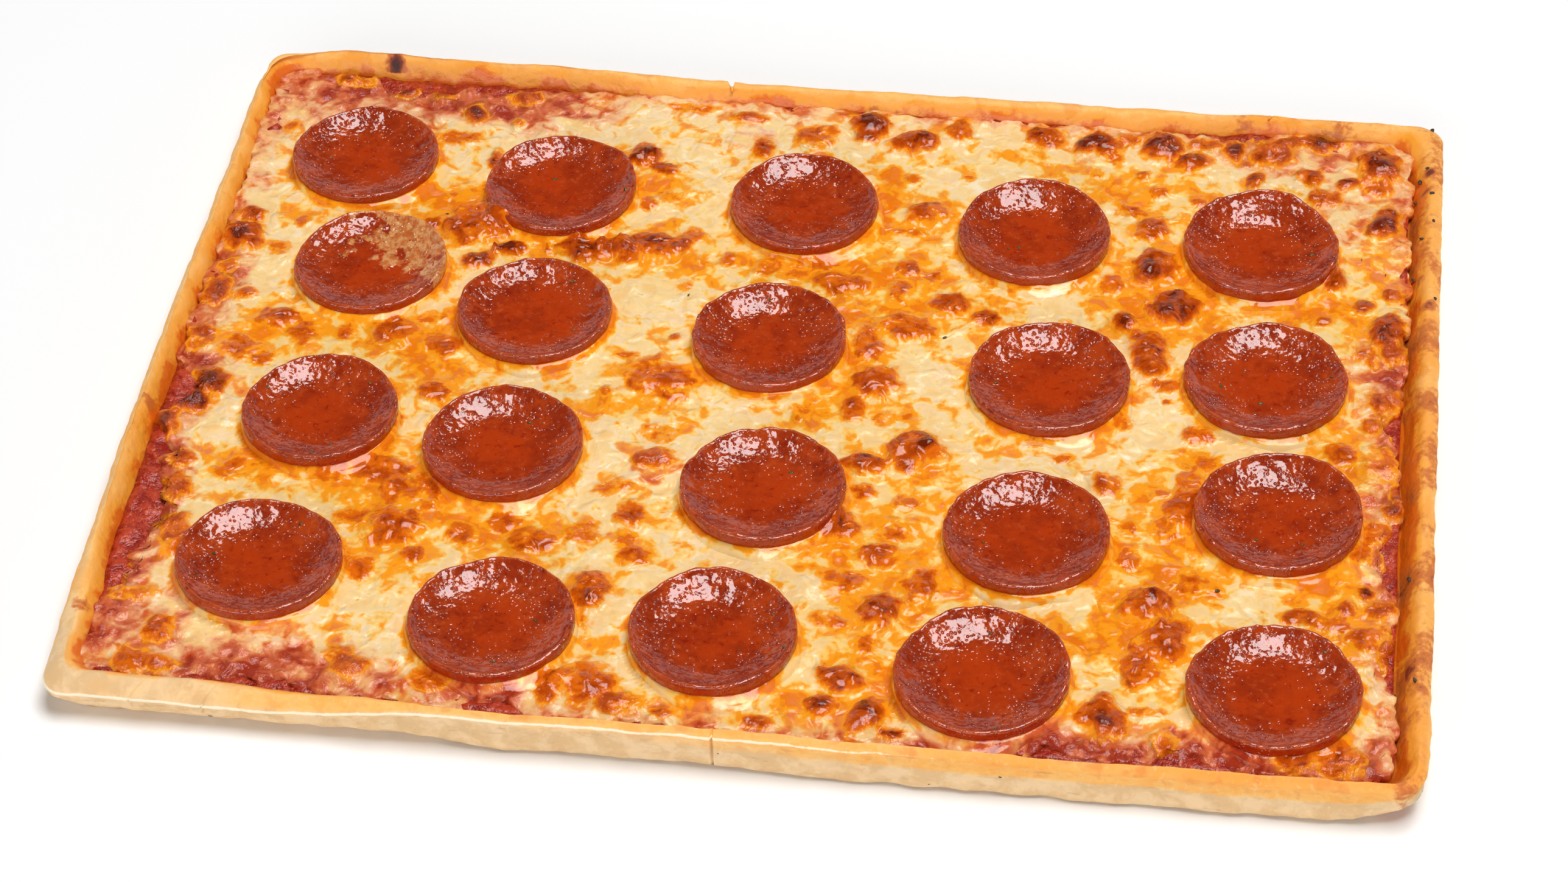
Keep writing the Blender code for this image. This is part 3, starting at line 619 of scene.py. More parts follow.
# Browned spots, and two spots of painted shade beside slices: x, y, half length and half width in
# millimetres, how dark, and the turn in degrees of those that are turned. 0.3 only stains the cheese,
# 0.6 is toasted, and 0.8 to 1 are raised dark blisters.
BROWNED_AND_SHADED_SPOTS = (
    (-168, 50, 6, 6, 1.0), (-167, 60, 5, 4, 0.85), (-153, 128, 3, 3, 0.75), (-147, 127, 4, 3, 0.5),
    (-134, 125, 3, 4, 0.95), (-122, 125, 4, 3.5, 0.95), (-111, 115, 3.5, 4.5, 1.0, 10),
    # (-101, 93) is a painted shadow at a slice's left edge, not a browned spot.
    (-97, 124, 5, 3.5, 0.75), (-113, 103, 7, 3.5, 0.55), (-97, 112, 2, 1.8, 0.7), (-101, 93, 2, 4, 0.8),
    (-100, 63, 11, 9, 0.75, 20), (-93, 67, 6, 6, 0.85), (-114, 62, 3, 2.5, 0.65), (-88, 53, 5, 3, 1.05),
    (-97, 47, 6, 4, 0.8, 20), (-68, 55, 8, 5, 1.0), (-72, 62, 5, 3.5, 0.8), (-59, 56, 5, 5, 0.85),
    (-107, 78, 7, 5, 0.33), (-152, 59, 2.5, 3, 0.55), (-156, 47, 4, 3.5, 0.45), (-166, 103, 2.5, 3, 0.5),
    # (-148, 71) is partly an orange stain and partly painted shade below a slice's front left.
    (-148, 71, 5, 2, 0.45, -20), (-56, 101, 5, 5, 0.95), (-50, 95, 6, 2.6, 0.85, -30),
    (-52, 78, 3, 3, 0.65), (-46, 82, 4, 3, 0.45), (-47, 58, 11, 6.5, 0.85), (-54, 54, 4, 4, 0.9),
    (-37, 64, 4, 4, 0.5), (-25, 55, 3, 3.5, 0.7), (-13, 53, 4.5, 4.5, 0.55), (-4, 51, 4, 3, 0.5),
    (4, 57, 5, 4, 0.55), (9, 48, 9, 4.5, 0.75), (27, 57, 4.5, 4, 0.65, 60), (26, 47, 3.5, 5.5, 0.6),
    (35, 54, 3, 2.5, 0.55), (30, 82, 6.5, 5.5, 0.8), (26, 73, 5, 2.6, 0.5), (41, 42, 6.5, 4.5, 0.78),
    (24, 98, 3, 2.6, 0.55), (41, 100, 2, 2, 0.45), (9, 121, 6, 6.5, 1.05), (23, 115, 8, 5, 0.95, 12),
    (36, 122, 4, 5, 0.9), (62, 122, 6, 4.5, 0.9), (-22, 107, 3, 5.5, 0.85), (-7, 115, 7, 6, 0.6),
    (-28, 122, 6, 2.6, 0.65), (-46, 125, 9, 2.2, 0.45), (78, 120, 6.5, 5.5, 1.05),
    (97, 120.5, 6.5, 6.5, 1.05), (106, 114.5, 5, 4.5, 1.0), (118, 121, 3.5, 5, 0.9), (86, 123, 4, 3, 0.65),
    (110, 123, 6, 3, 0.75), (129, 121, 7, 5.5, 0.8), (135, 127, 4, 3.5, 1.0), (144, 128.5, 6, 4, 1.0),
    (161, 118, 6.5, 8, 0.95, 20), (141, 111, 4, 4, 0.75), (152, 109, 3.5, 3, 0.95), (162, 108, 4, 4, 0.7),
    (125, 108, 3, 4.5, 0.85), (146, 102, 5, 4, 0.65), (84, 113, 3, 3, 0.55), (92, 106, 2.4, 2.2, 0.7),
    (79, 106, 1.8, 2.2, 0.5), (97, 99, 3, 3, 0.6), (109, 96, 3, 2, 0.6), (96, 82, 5, 5.5, 0.78),
    (91, 89, 7, 3, 0.5, -20), (98, 65, 7, 7, 0.85), (97, 61, 4, 3.5, 1.05), (86, 55, 4, 4.5, 0.62),
    (105, 47, 8, 7, 0.95), (103, 44, 4, 3, 1.05), (91, 40, 4, 4, 0.95), (149, 65, 4, 6, 0.8),
    (163, 91, 4, 8, 1.0, -20), (166, 60, 3, 3, 0.9), (158, 54, 3, 3, 0.85), (165, 43, 5, 7.5, 1.05),
    (147, 46, 2.5, 2.2, 0.6), (-169, 37, 3, 3, 0.6), (-170, 26, 4, 6.5, 0.8), (-161, 25, 4, 3, 0.65),
    (-150, 15, 6.5, 4.5, 0.76), (-141, 10, 4.5, 5.5, 0.58), (-129, 11, 2.5, 3.5, 0.55),
    (-115, 13, 7, 6, 0.72), (-100, 9, 6, 5, 0.66), (-106, 21, 5, 2.6, 0.5), (-170, 5, 5, 5.5, 0.6),
    (-158, 2, 7, 4.5, 0.6), (-150, -2, 3.5, 3.5, 0.5), (-99, -11, 5, 4, 0.66), (-108, -25, 3.5, 4.5, 0.55),
    (-162, -14, 5, 6, 1.0), (-167, -21, 7, 4.5, 1.0), (-171, -32, 4.5, 5, 0.95), (-162, -45, 3.5, 3.5, 0.7),
    (-147, -48, 8, 4.5, 0.45, 15), (-108, -44, 12, 6, 0.6), (-97, -52, 9, 8, 0.62), (-122, -46, 8, 4, 0.5),
    (-36, 43, 3, 3, 0.5), (-35, 20, 1.8, 1.4, 0.8), (-47, 11, 4, 1.4, 0.5), (-37, 2, 11, 8, 0.58, -25),
    (-33, -1, 5, 3.5, 0.78), (-43, -2, 4, 3, 0.6), (-51, -5, 2.4, 2, 0.5), (-33, -21, 6, 4, 0.5),
    (-33, -31, 6, 4, 0.8), (-42, -44, 5, 4, 0.65), (20, 22, 4.5, 8, 0.72, 20), (24, 6, 7, 7, 0.82),
    (30, 31, 8, 6, 0.7), (52, 37, 5, 3.5, 0.72), (19, -5, 4.5, 5.5, 0.66), (28, -8, 4, 3, 0.5),
    (34, -7, 2.4, 2.4, 0.5), (5, -7, 3, 5, 0.45), (38, -20, 8.5, 7, 0.85), (41, -20, 3.5, 3, 1.1),
    (36, -28, 3, 2.4, 0.75), (25, -27, 6.5, 4, 0.9), (26, -38, 3.5, 3.5, 0.66), (37, -41, 4, 3, 0.6),
    (99, 27, 5.5, 11, 0.85, 8), (105, 14, 3.5, 3, 0.66), (105, 7, 1.4, 1.4, 0.5), (93, -3, 3.5, 3.5, 0.5),
    (114, -6, 4.5, 3.5, 0.66), (116, -16, 5, 5, 0.4), (78, -19, 4, 1.6, 0.5), (70, -13, 4, 2.4, 0.5),
    (91, -28, 4.5, 5, 0.66), (106, -30, 2.5, 2.2, 0.5), (113, -25, 5, 4, 0.62), (113, -35, 5.5, 8, 0.76),
    (108, -44, 5, 4.5, 0.5), (98, -44, 3, 3, 0.45), (167, 35, 4, 5, 0.7), (160, 33, 4, 4, 0.6),
    (165, 13, 5.5, 5.5, 0.8), (162, 3, 3.5, 3.5, 0.8), (169, 5, 3, 7, 0.8), (154, -9, 5, 5, 0.6),
    (165, -12, 6, 7, 0.55), (171, -25, 4, 6, 0.8), (168, -30, 3.5, 3, 0.95), (165, -39, 5, 5, 0.62),
    (169, -48, 3.5, 7, 0.85), (159, -48, 4, 4, 0.6), (-162, -57, 4.5, 5.5, 0.78),
    (-157, -76, 5, 9, 0.75, 10), (-170, -90, 3, 7, 0.9), (-162, -98, 6, 2.6, 0.6, 10),
    (-153, -111, 4, 5, 0.8), (-158, -123, 6, 4.5, 0.66), (-149, -123, 4, 3.5, 0.66),
    (-100, -119, 5, 4.5, 0.8), (-104, -114, 5, 2.6, 0.55), (-78, -121, 6, 4.5, 0.66),
    (-99, -66, 7.5, 7.5, 0.76), (-92, -76, 4, 3.5, 0.6), (-111, -62, 6, 4, 0.45, 30),
    (-106, -82, 5, 5, 0.55), (-69, -61, 5, 4, 0.62), (-62, -67, 7, 5, 0.66), (-80, -67, 5, 5, 0.5),
    (-36, -54, 4.5, 5.5, 0.64), (-33, -70, 5, 3.5, 0.6), (-36, -63, 3, 7, 0.4), (-48, -62, 6, 5, 0.45),
    (-42, -85, 5.5, 8, 0.85), (-38, -118, 8, 7, 0.75), (-47, -120, 4, 6, 0.7), (-29, -124, 6, 4, 0.8),
    (-17, -126, 4, 2, 0.55), (20, -53, 6.5, 5.5, 0.85), (19, -50, 3, 2.4, 1.05), (33, -63, 6, 5, 0.78),
    (36, -52, 6, 4.5, 0.36), (45, -72, 5, 8, 0.64), (35, -83, 6, 7, 0.82, -25), (34, -84, 3, 3.5, 0.95),
    (24, -73, 7, 5, 0.58), (23, -87, 6, 4, 0.5), (34, -96, 4, 4, 0.5), (28, -109, 6, 5, 0.82),
    (31, -109, 1.6, 2, 1.1), (24, -119, 4.5, 4.5, 0.78), (36, -121, 5, 6.5, 0.9), (9, -126, 5, 2.2, 0.7),
    (43, -127, 4, 2, 0.7), (99, -57, 3.5, 4, 0.56), (116, -63, 5.5, 5, 0.56), (105, -74, 8, 7, 0.78),
    (106, -72, 4, 3.5, 1.0), (111, -82, 7, 7, 0.58), (110, -88, 6.5, 7, 0.8), (105, -97, 6, 8, 0.72),
    (96, -115, 7, 7, 0.76), (97, -118, 3.5, 2.6, 1.05), (106, -112, 6, 2, 0.6), (112, -122, 4, 3, 0.76),
    (146, -73, 6, 3.5, 0.72), (154, -75, 5, 3.5, 0.66), (157, -69, 3, 3, 0.9), (166, -68, 4, 3.5, 0.8),
    (162, -62, 2.4, 2.4, 0.95), (163, -79, 6, 5, 0.6), (169, -84, 3.5, 6, 0.9), (156, -123, 7, 7, 0.66),
    (145, -125, 5, 3.5, 0.78),
)

# Where oil has stained the cheese yellow orange: x, y, reach across and along in millimetres, strength.
OIL_STAINS = (
    (164, 70, 16, 60, 0.45), (158, -60, 20, 60, 0.4), (100, -80, 30, 40, 0.25), (0, 52, 60, 14, 0.3),
    (-110, 0, 30, 60, 0.2), (18, 80, 4, 19, 1.1), (17, 98, 4, 6, 0.8), (-77, 57, 6, 5, 1.1),
    (-100, 66, 18, 16, 0.7), (-50, 85, 7, 8, 0.6), (-45, 58, 17, 11, 0.7), (6, 53, 22, 8, 0.7),
    (28, 55, 9, 12, 0.6), (30, 80, 10, 10, 0.7), (20, 15, 9, 24, 0.85), (35, 34, 22, 10, 0.7),
    (36, -28, 15, 16, 0.85), (7, -5, 9, 9, 0.8), (-36, 0, 15, 12, 0.7), (-46, -11, 9, 4, 0.9),
    (-105, -48, 22, 14, 0.75), (-145, -48, 12, 7, 0.7), (-100, -70, 14, 20, 0.6), (-103, 4, 9, 9, 0.6),
    (-115, 12, 26, 10, 0.6), (-150, 13, 12, 9, 0.6), (-158, 2, 14, 8, 0.55), (-36, -60, 8, 16, 0.6),
    (22, -60, 22, 13, 0.6), (30, -82, 20, 22, 0.6), (30, -112, 14, 16, 0.7), (95, -88, 9, 8, 0.9),
    (108, -85, 11, 26, 0.85), (112, -60, 12, 9, 0.55), (98, -50, 8, 16, 0.6), (112, -30, 9, 20, 0.75),
    (104, 45, 18, 14, 0.7), (98, 68, 14, 22, 0.6), (95, 100, 26, 12, 0.5), (60, 110, 24, 8, 0.35),
    (150, 50, 16, 14, 0.5), (160, -62, 14, 22, 0.6), (155, -10, 10, 14, 0.6), (-70, -64, 18, 9, 0.6),
    (-45, -105, 12, 7, 0.4), (-22, -124, 22, 5, 0.6), (15, -122, 22, 7, 0.7), (-110, 76, 9, 7, 0.7),
    (58, -60, 5, 12, 0.4), (46, -75, 10, 12, 0.6),
)

# Raised ridges of wet cheese with painted highlights in paler cream: x, y, half length, half width in
# millimetres, turn in degrees.
RIDGES_WITH_PAINTED_HIGHLIGHTS = (
    (84, 69, 10, 2.4, 78), (132, -6.5, 9, 2.4, -6), (-85, 113, 5, 2.6, 8), (-168, -43, 4, 2.2, 60),
    (-155, -27, 2.2, 5, 0), (-163, -83, 8, 1.6, 25), (16, -76, 5, 4.5, 50), (-48, -113, 9, 3.5, 5),
    (113, -121, 5, 2.2, 0), (66, 51, 8, 1.4, 14), (86, -24, 4, 1.8, 0), (-24, -53, 4, 1.8, 0),
    (-38, -40, 5, 2.2, 20), (-60, -105, 2, 7, 20), (165, -103, 2.4, 6, 0),
)


def slice_places():
    """Centre, radius, base and top of each slice, from its solid."""
    places = []
    for index in range(1, SLICE_COUNT + 1):
        low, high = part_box(f"pepperoni_{index:02d}")
        middle = (low + high) / 2
        places.append((middle.x, middle.y, (high.x - low.x + high.y - low.y) / 4, low.z, high.z))
    return places


SLICES = slice_places()


def clumps(x, y, size, seed):
    """Rounded lumps from 0 in the creases to 1 on top, each about size across, like melted shreds."""
    column, row = np.floor(x / size), np.floor(y / size)
    nearest = np.full(x.shape, 9.0)
    for dx in (-1, 0, 1):
        for dy in (-1, 0, 1):
            cx, cy = column + dx, row + dy
            jump = np.sin(cx * 127.1 + cy * 311.7 + seed * 17.3) * 43758.5453
            hop = np.sin(cx * 269.5 + cy * 183.3 + seed * 31.7) * 43758.5453
            away = np.hypot(cx + jump - np.floor(jump) - x / size, cy + hop - np.floor(hop) - y / size)
            nearest = np.minimum(nearest, away)
    return 1 - np.clip(nearest, 0, 1)


def patch(x, y, spot, turn=0.0):
    """Distance from a patch's middle, 1 at its reach: its first four values are x, y and the two reaches."""
    c, s = math.cos(math.radians(turn)), math.sin(math.radians(turn))
    dx, dy = x - spot[0] * MM - CRUST_SHIFT.x, y - spot[1] * MM - CRUST_SHIFT.y
    return np.hypot((dx * c + dy * s) / (spot[2] * MM), (dy * c - dx * s) / (spot[3] * MM))


def bay_depth(x, y):
    """How far the cheese's edge draws back to show the sauce, near a point."""
    ragged = np.clip(1 + 0.5 * grain(x, y, 7 * MM, 41) + 0.4 * grain(x, y, 3 * MM, 42), 0, 2)
    return sum(spot[4] * MM * np.exp(-patch(x, y, spot) ** 2) for spot in SAUCE_BAYS) * ragged


def cheese_at(x, y, edge):
    """The cheese's height at points edge metres in from its border, and the marks that its finish reads."""
    bay = bay_depth(x, y)
    thin = 0.55 * ramp(edge, 15 * MM, 0) + 0.6 * ramp(bay, 0.4 * MM, 4 * MM)
    thin = np.maximum(thin, 0) + sum(0.8 * spot[4] * np.exp(-patch(x, y, spot) ** 2) for spot in THIN_PATCHES)
    thin = np.clip(thin + 0.35 * grain(x, y, 8 * MM, 48) * ramp(thin, 0, 0.4), 0, 1.1)

    lumps = clumps(x + 1.5 * MM * grain(x, y, 6 * MM, 50), y, 8.5 * MM, 3)
    small = clumps(x, y + 1.0 * MM * grain(x, y, 4 * MM, 51), 4.2 * MM, 5)
    top = CHEESE_TOP + 0.45 * MM * grain(x, y, 19 * MM, 45) + 0.3 * MM * grain(x, y, 7 * MM, 46)
    top += 0.8 * MM * (lumps - 0.5) + 0.35 * MM * (small - 0.5) + 0.12 * MM * grain(x, y, 2.6 * MM, 47)
    top += thin * (0.8 * MM * (small - 0.45) + 0.45 * MM * grain(x, y, 3.2 * MM, 49) - 0.4 * MM)

    brown_and_shade = np.zeros(len(x))
    wobble = 1 + 0.28 * grain(x, y, 5 * MM, 60) + 0.16 * grain(x, y, 2.4 * MM, 61)
    crinkle = grain(x, y, 2.2 * MM, 62)
    # The brown mark is browning, and painted shade at the two shade spots beside slices.
    for spot in BROWNED_AND_SHADED_SPOTS:
        dark = spot[4]
        away = patch(x, y, spot, *spot[5:]) * wobble
        dome = np.clip(1.1 - away**2, 0, 1)
        puff = 0.42 * min(spot[2], spot[3]) * MM * ramp(dark, 0.4, 0.95)
        top += dome**0.55 * (puff + 0.3 * MM * crinkle * ramp(dark, 0.5, 0.9))
        halo = 0.24 * np.exp(-((away / 1.5) ** 2))
        plateau = 0.46 * ramp(away, 1.15, 0.75) + 0.34 * np.clip(1 - away**2, 0, 1)
        brown_and_shade = np.maximum(brown_and_shade, dark * (plateau + halo))
    oil = sum(spot[4] * np.exp(-patch(x, y, spot) ** 2) for spot in OIL_STAINS)
    oil = np.clip(0.3 + 0.62 * oil + 0.35 * brown_and_shade, 0, 1.15)
    for spot in RIDGES_WITH_PAINTED_HIGHLIGHTS:
        ridge_and_highlight = np.exp(-1.2 * (patch(x, y, spot, spot[4]) * wobble) ** 2)
        top += ridge_and_highlight * MM * (1.0 + 0.5 * grain(x, y, 2.4 * MM, 63))
        # Painted highlight: on the ridges the cheese is painted paler, with less oil, pink and brown.
        oil, thin, brown_and_shade = oil * (1 - 0.7 * ridge_and_highlight), thin * (1 - 0.6 * ridge_and_highlight), brown_and_shade * (1 - 0.6 * ridge_and_highlight)

    pool = np.zeros(len(x))
    level = CHEESE_TOP + POOL_RISE
    for number, (slice_x, slice_y, radius, low, _) in enumerate(SLICES):
        dx, dy = x - slice_x, y - slice_y
        away = np.hypot(dx, dy) - radius
        wet = ramp(away, 3.2 * MM + 1.2 * MM * np.cos(3 * np.arctan2(dy, dx) + number), 0.8 * MM)
        top = top * (1 - wet) + np.maximum(level, top - 0.4 * MM) * wet
        pool = np.maximum(pool, wet)
        oil = np.maximum(oil, 0.95 * ramp(away + 1.2 * MM * grain(x, y, 4 * MM, 64), 3.4 * MM, 0.3 * MM))
        top = np.where(away < -0.12 * radius, low - 0.8 * MM, top)
    return top, {"brown_and_shade": brown_and_shade, "oil": oil, "thin": thin, "pool": pool}


def cheese_finish():
    """Cream, oil orange, sauce pink and toasted brown with some painted shade and painted highlight, broken
    up finer than the mesh, under a wet gloss.
    """
    material, recipe, shader = new_finish("melted_cheese")
    brown_and_shade, oil, thin, pool = (recipe.mark(name) for name in ("brown_and_shade", "oil", "thin", "pool"))
    broad = recipe.lumps(0.013, 3.0, 0.55, 1.0, distortion=0.4)
    medium = recipe.lumps(0.0052, 2.0, 0.48, 2.0, distortion=0.6)
    fine = recipe.lumps(0.0013, 3.0, 0.65, 3.0)
    grit = recipe.lumps(0.00045, 2.0, 0.6, 7.0)
    colour = recipe.blend(broad.between(0.4, 0.6), tint(250, 213, 148), tint(249, 221, 180))
    stain = oil * 1.1 - thin * 0.1 + (medium - 0.5) * 2.3 + (fine - 0.5) * 0.45 + (broad - 0.5) * 2.4
    blush = thin * 1.08 + (medium - 0.5) * 1.9 + (fine - 0.5) * 0.5 + (broad - 0.5) * 0.8
    mottle = (fine - 0.5) * 0.5 + (grit - 0.5) * 0.2 + (medium - 0.5) * 1.3
    toast = brown_and_shade + mottle * brown_and_shade.between(0.02, 0.3)
    layers = (
        (medium, 0.5, 0.66, 0.7, (254, 240, 212)),
        (medium, 0.46, 0.34, 0.5, (248, 194, 112)),
        (stain, 0.3, 0.55, 0.75, (255, 200, 78)),
        (stain, 0.5, 0.8, 0.95, (254, 156, 10)),
        (stain, 0.9, 1.2, 0.8, (234, 114, 6)),
        (blush, 0.2, 0.65, 0.6, (238, 142, 84)),
        (blush, 0.55, 1.0, 0.85, (208, 84, 44)),
        (blush, 0.95, 1.35, 0.85, (158, 38, 20)),
        # The toast layers also paint the shade beside two slices.
        (toast, 0.05, 0.26, 0.95, (252, 156, 24)),
        (toast, 0.3, 0.52, 1.0, (226, 108, 14)),
        (toast, 0.54, 0.8, 1.0, (186, 72, 6)),
        (toast, 0.82, 1.1, 1.0, (112, 32, 6)),
    )
    swell = recipe.lumps(0.0058, 1.0, 0.4, 11.0, distortion=0.8)
    height = swell + medium * 0.12 + fine * (0.05 + thin * 0.1)
    wetness = stain.between(0.3, 0.9) * 0.08 + pool * 0.12 + thin * 0.06 + brown_and_shade * 0.12
    surface(
        recipe, shader,
        BaseColor=recipe.layered(colour, layers),
        Roughness=(0.27 - wetness - brown_and_shade * 0.08 + (medium - 0.5) * 0.2).largest(0.08),
        Normal=recipe.relief(height * (0.6 + brown_and_shade * 0.5 + thin * 0.3) * (1 - pool * 0.8), 2.4 * MM),
    )
    surface(recipe, shader, SpecularIORLevel=0.42, SubsurfaceWeight=0.15)
    surface(recipe, shader, SubsurfaceRadius=(1.0, 0.6, 0.3), SubsurfaceScale=0.002)
    return material


def from_border(x, y):
    """How far points lie in from the cheese's border, before it is pulled out of true."""
    return np.minimum(CHEESE_LENGTH / 2 - abs(x - CRUST_SHIFT.x), CHEESE_WIDTH / 2 - abs(y - CRUST_SHIFT.y))


def cheese_skin(material):
    """The cheese: one fine sheet with a ragged, rounded edge that draws back at the bays."""
    x, y, faces, rim = rounded_grid(CHEESE_LENGTH, CHEESE_WIDTH, 9 * MM, CHEESE_SPACING)
    edge = from_border(x + CRUST_SHIFT.x, y + CRUST_SHIFT.y)
    ragged = 2.2 * MM * grain(x, y, 9 * MM, 43) + 1.5 * MM * grain(x, y, 3.6 * MM, 44)
    bay = bay_depth(x + CRUST_SHIFT.x, y + CRUST_SHIFT.y)
    inset = np.maximum(ragged, -1 * MM) + bay + tray_edge(x, y)
    x, y = pulled_edge(x, y, CHEESE_LENGTH, CHEESE_WIDTH, inset)
    x, y = x + CRUST_SHIFT.x, y + CRUST_SHIFT.y
    top, marks = cheese_at(x, y, edge)
    rounded = np.sqrt(np.clip(edge / (2.2 * MM), 0, 1))
    low_edge = 0.9 - 0.6 * ramp(bay, 1 * MM, 4 * MM)
    top = CHEESE_UNDERSIDE + (top - CHEESE_UNDERSIDE) * (low_edge + (1 - low_edge) * rounded)
    return sheet("melted_cheese", x, y, top, faces, rim, CHEESE_UNDERSIDE, marks, material)


def oil_edge(number, place):
    """Points and marks of the rounded oil edge against one slice: a ring, broadest at the lower right."""
    slice_x, slice_y, radius = place[:3]
    draw = random.Random(number)
    favoured, width = math.radians(draw.uniform(-85, -40)), draw.uniform(1.0, 3.6) * MM
    turns = np.linspace(0, 2 * math.pi, OIL_EDGE_STEPS, endpoint=False)
    facing = np.clip(np.cos(turns - favoured), 0, 1) ** 2
    spread = 1.1 * MM + width * facing
    spread *= 1 + 0.35 * np.cos(3 * turns + number) + 0.2 * np.cos(8 * turns + 2 * number)
    verts, pooled = [], []
    for share in np.linspace(0, 1, OIL_EDGE_ROWS):
        away = share * (spread + OIL_EDGE_START) - OIL_EDGE_START
        x = slice_x + (radius + away) * np.cos(turns)
        y = slice_y + (radius + away) * np.sin(turns)
        top, marks = cheese_at(x, y, from_border(x, y))
        creep = 1.5 * MM * np.exp(-np.clip(away, 0, None) / (1.8 * MM))
        fade = ramp(share, 1.0, 0.7)
        surface_z = np.maximum(top, CHEESE_TOP + 0.35 * MM) * fade + top * (1 - fade)
        verts.append(np.column_stack((x, y, surface_z + creep * fade + 0.12 * MM - 0.5 * MM * (1 - fade))))
        pooled.append(marks)
    marks = {name: np.concatenate([row[name] for row in pooled]) for name in pooled[0]}
    marks["pool"][:] = 1.0
    return np.vstack(verts), marks


def oil_edges_skin(material):
    """All the oil edges as one piece. Each ring is open below, where the slice and the cheese cover it."""
    steps = np.arange(OIL_EDGE_STEPS)
    after = np.roll(steps, -1)
    all_verts, all_marks, faces = [], [], []
    for number, place in enumerate(SLICES):
        verts, marks = oil_edge(number, place)
        start = number * OIL_EDGE_STEPS * OIL_EDGE_ROWS
        for row in range(OIL_EDGE_ROWS - 1):
            inner, outer = start + row * OIL_EDGE_STEPS, start + (row + 1) * OIL_EDGE_STEPS
            quads = np.column_stack((inner + steps, outer + steps, outer + after, inner + after))
            faces += [tuple(quad) for quad in quads.tolist()]
        all_verts.append(verts)
        all_marks.append(marks)
    marks = {name: np.concatenate([one[name] for one in all_marks]) for name in all_marks[0]}
    return skin("oil_edges", np.vstack(all_verts), faces, marks, material)


melted = cheese_finish()
cheese = cheese_skin(melted)
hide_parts("cheese")
oil_edges = oil_edges_skin(melted)
for piece in (cheese, oil_edges):
    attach(piece, "root")


# The pepperoni slices
# Thick slices of cured sausage that curled into shallow cups in the oven. Each holds a little of
# its own red oil and the hot honey, which lies flat in the bottom and leaves a glaze on the walls.
# One rule makes all twenty: a profile turned round, pulled out of true and filled to a level.

CUP_REACH = (
    (0.0, 0.0), (0.16, 0.33), (0.30, 0.60), (0.42, 0.80), (0.50, 0.905), (0.54, 0.942), (0.57, 0.964),
    (0.60, 0.986), (0.64, 1.0), (0.74, 0.995), (0.84, 0.965), (0.90, 0.70), (1.0, 0.0),
)
CUP_RISE = (
    (0.0, 0.17), (0.16, 0.19), (0.30, 0.28), (0.42, 0.46), (0.50, 0.60), (0.54, 0.68), (0.57, 0.715),
    (0.60, 0.70), (0.64, 0.62), (0.74, 0.34), (0.84, 0.09), (0.90, 0.0), (1.0, 0.0),
)
CUP_SCALE = 8 * MM  # the height that 1 stands for in the rise above
STEPS_ROUND = 145
STEPS_ACROSS = 64
SUNK = 0.2 * MM  # how far a slice is pressed into the cheese
EVEN_CUP = 5.8 * MM  # the height of a cup without a raised back edge
OIL_LEVEL = 1.75 * MM  # how deep the oil lies in the cups
COVERED = 6  # the slice that is partly under a film of cheese
CRINKLED = {4: 0.6, 5: 1.0, 8: 0.8, 9: 0.7, 10: 1.0, 13: 0.8, 14: 0.7, 15: 1.0, 18: 0.5, 19: 0.7, 20: 0.9}


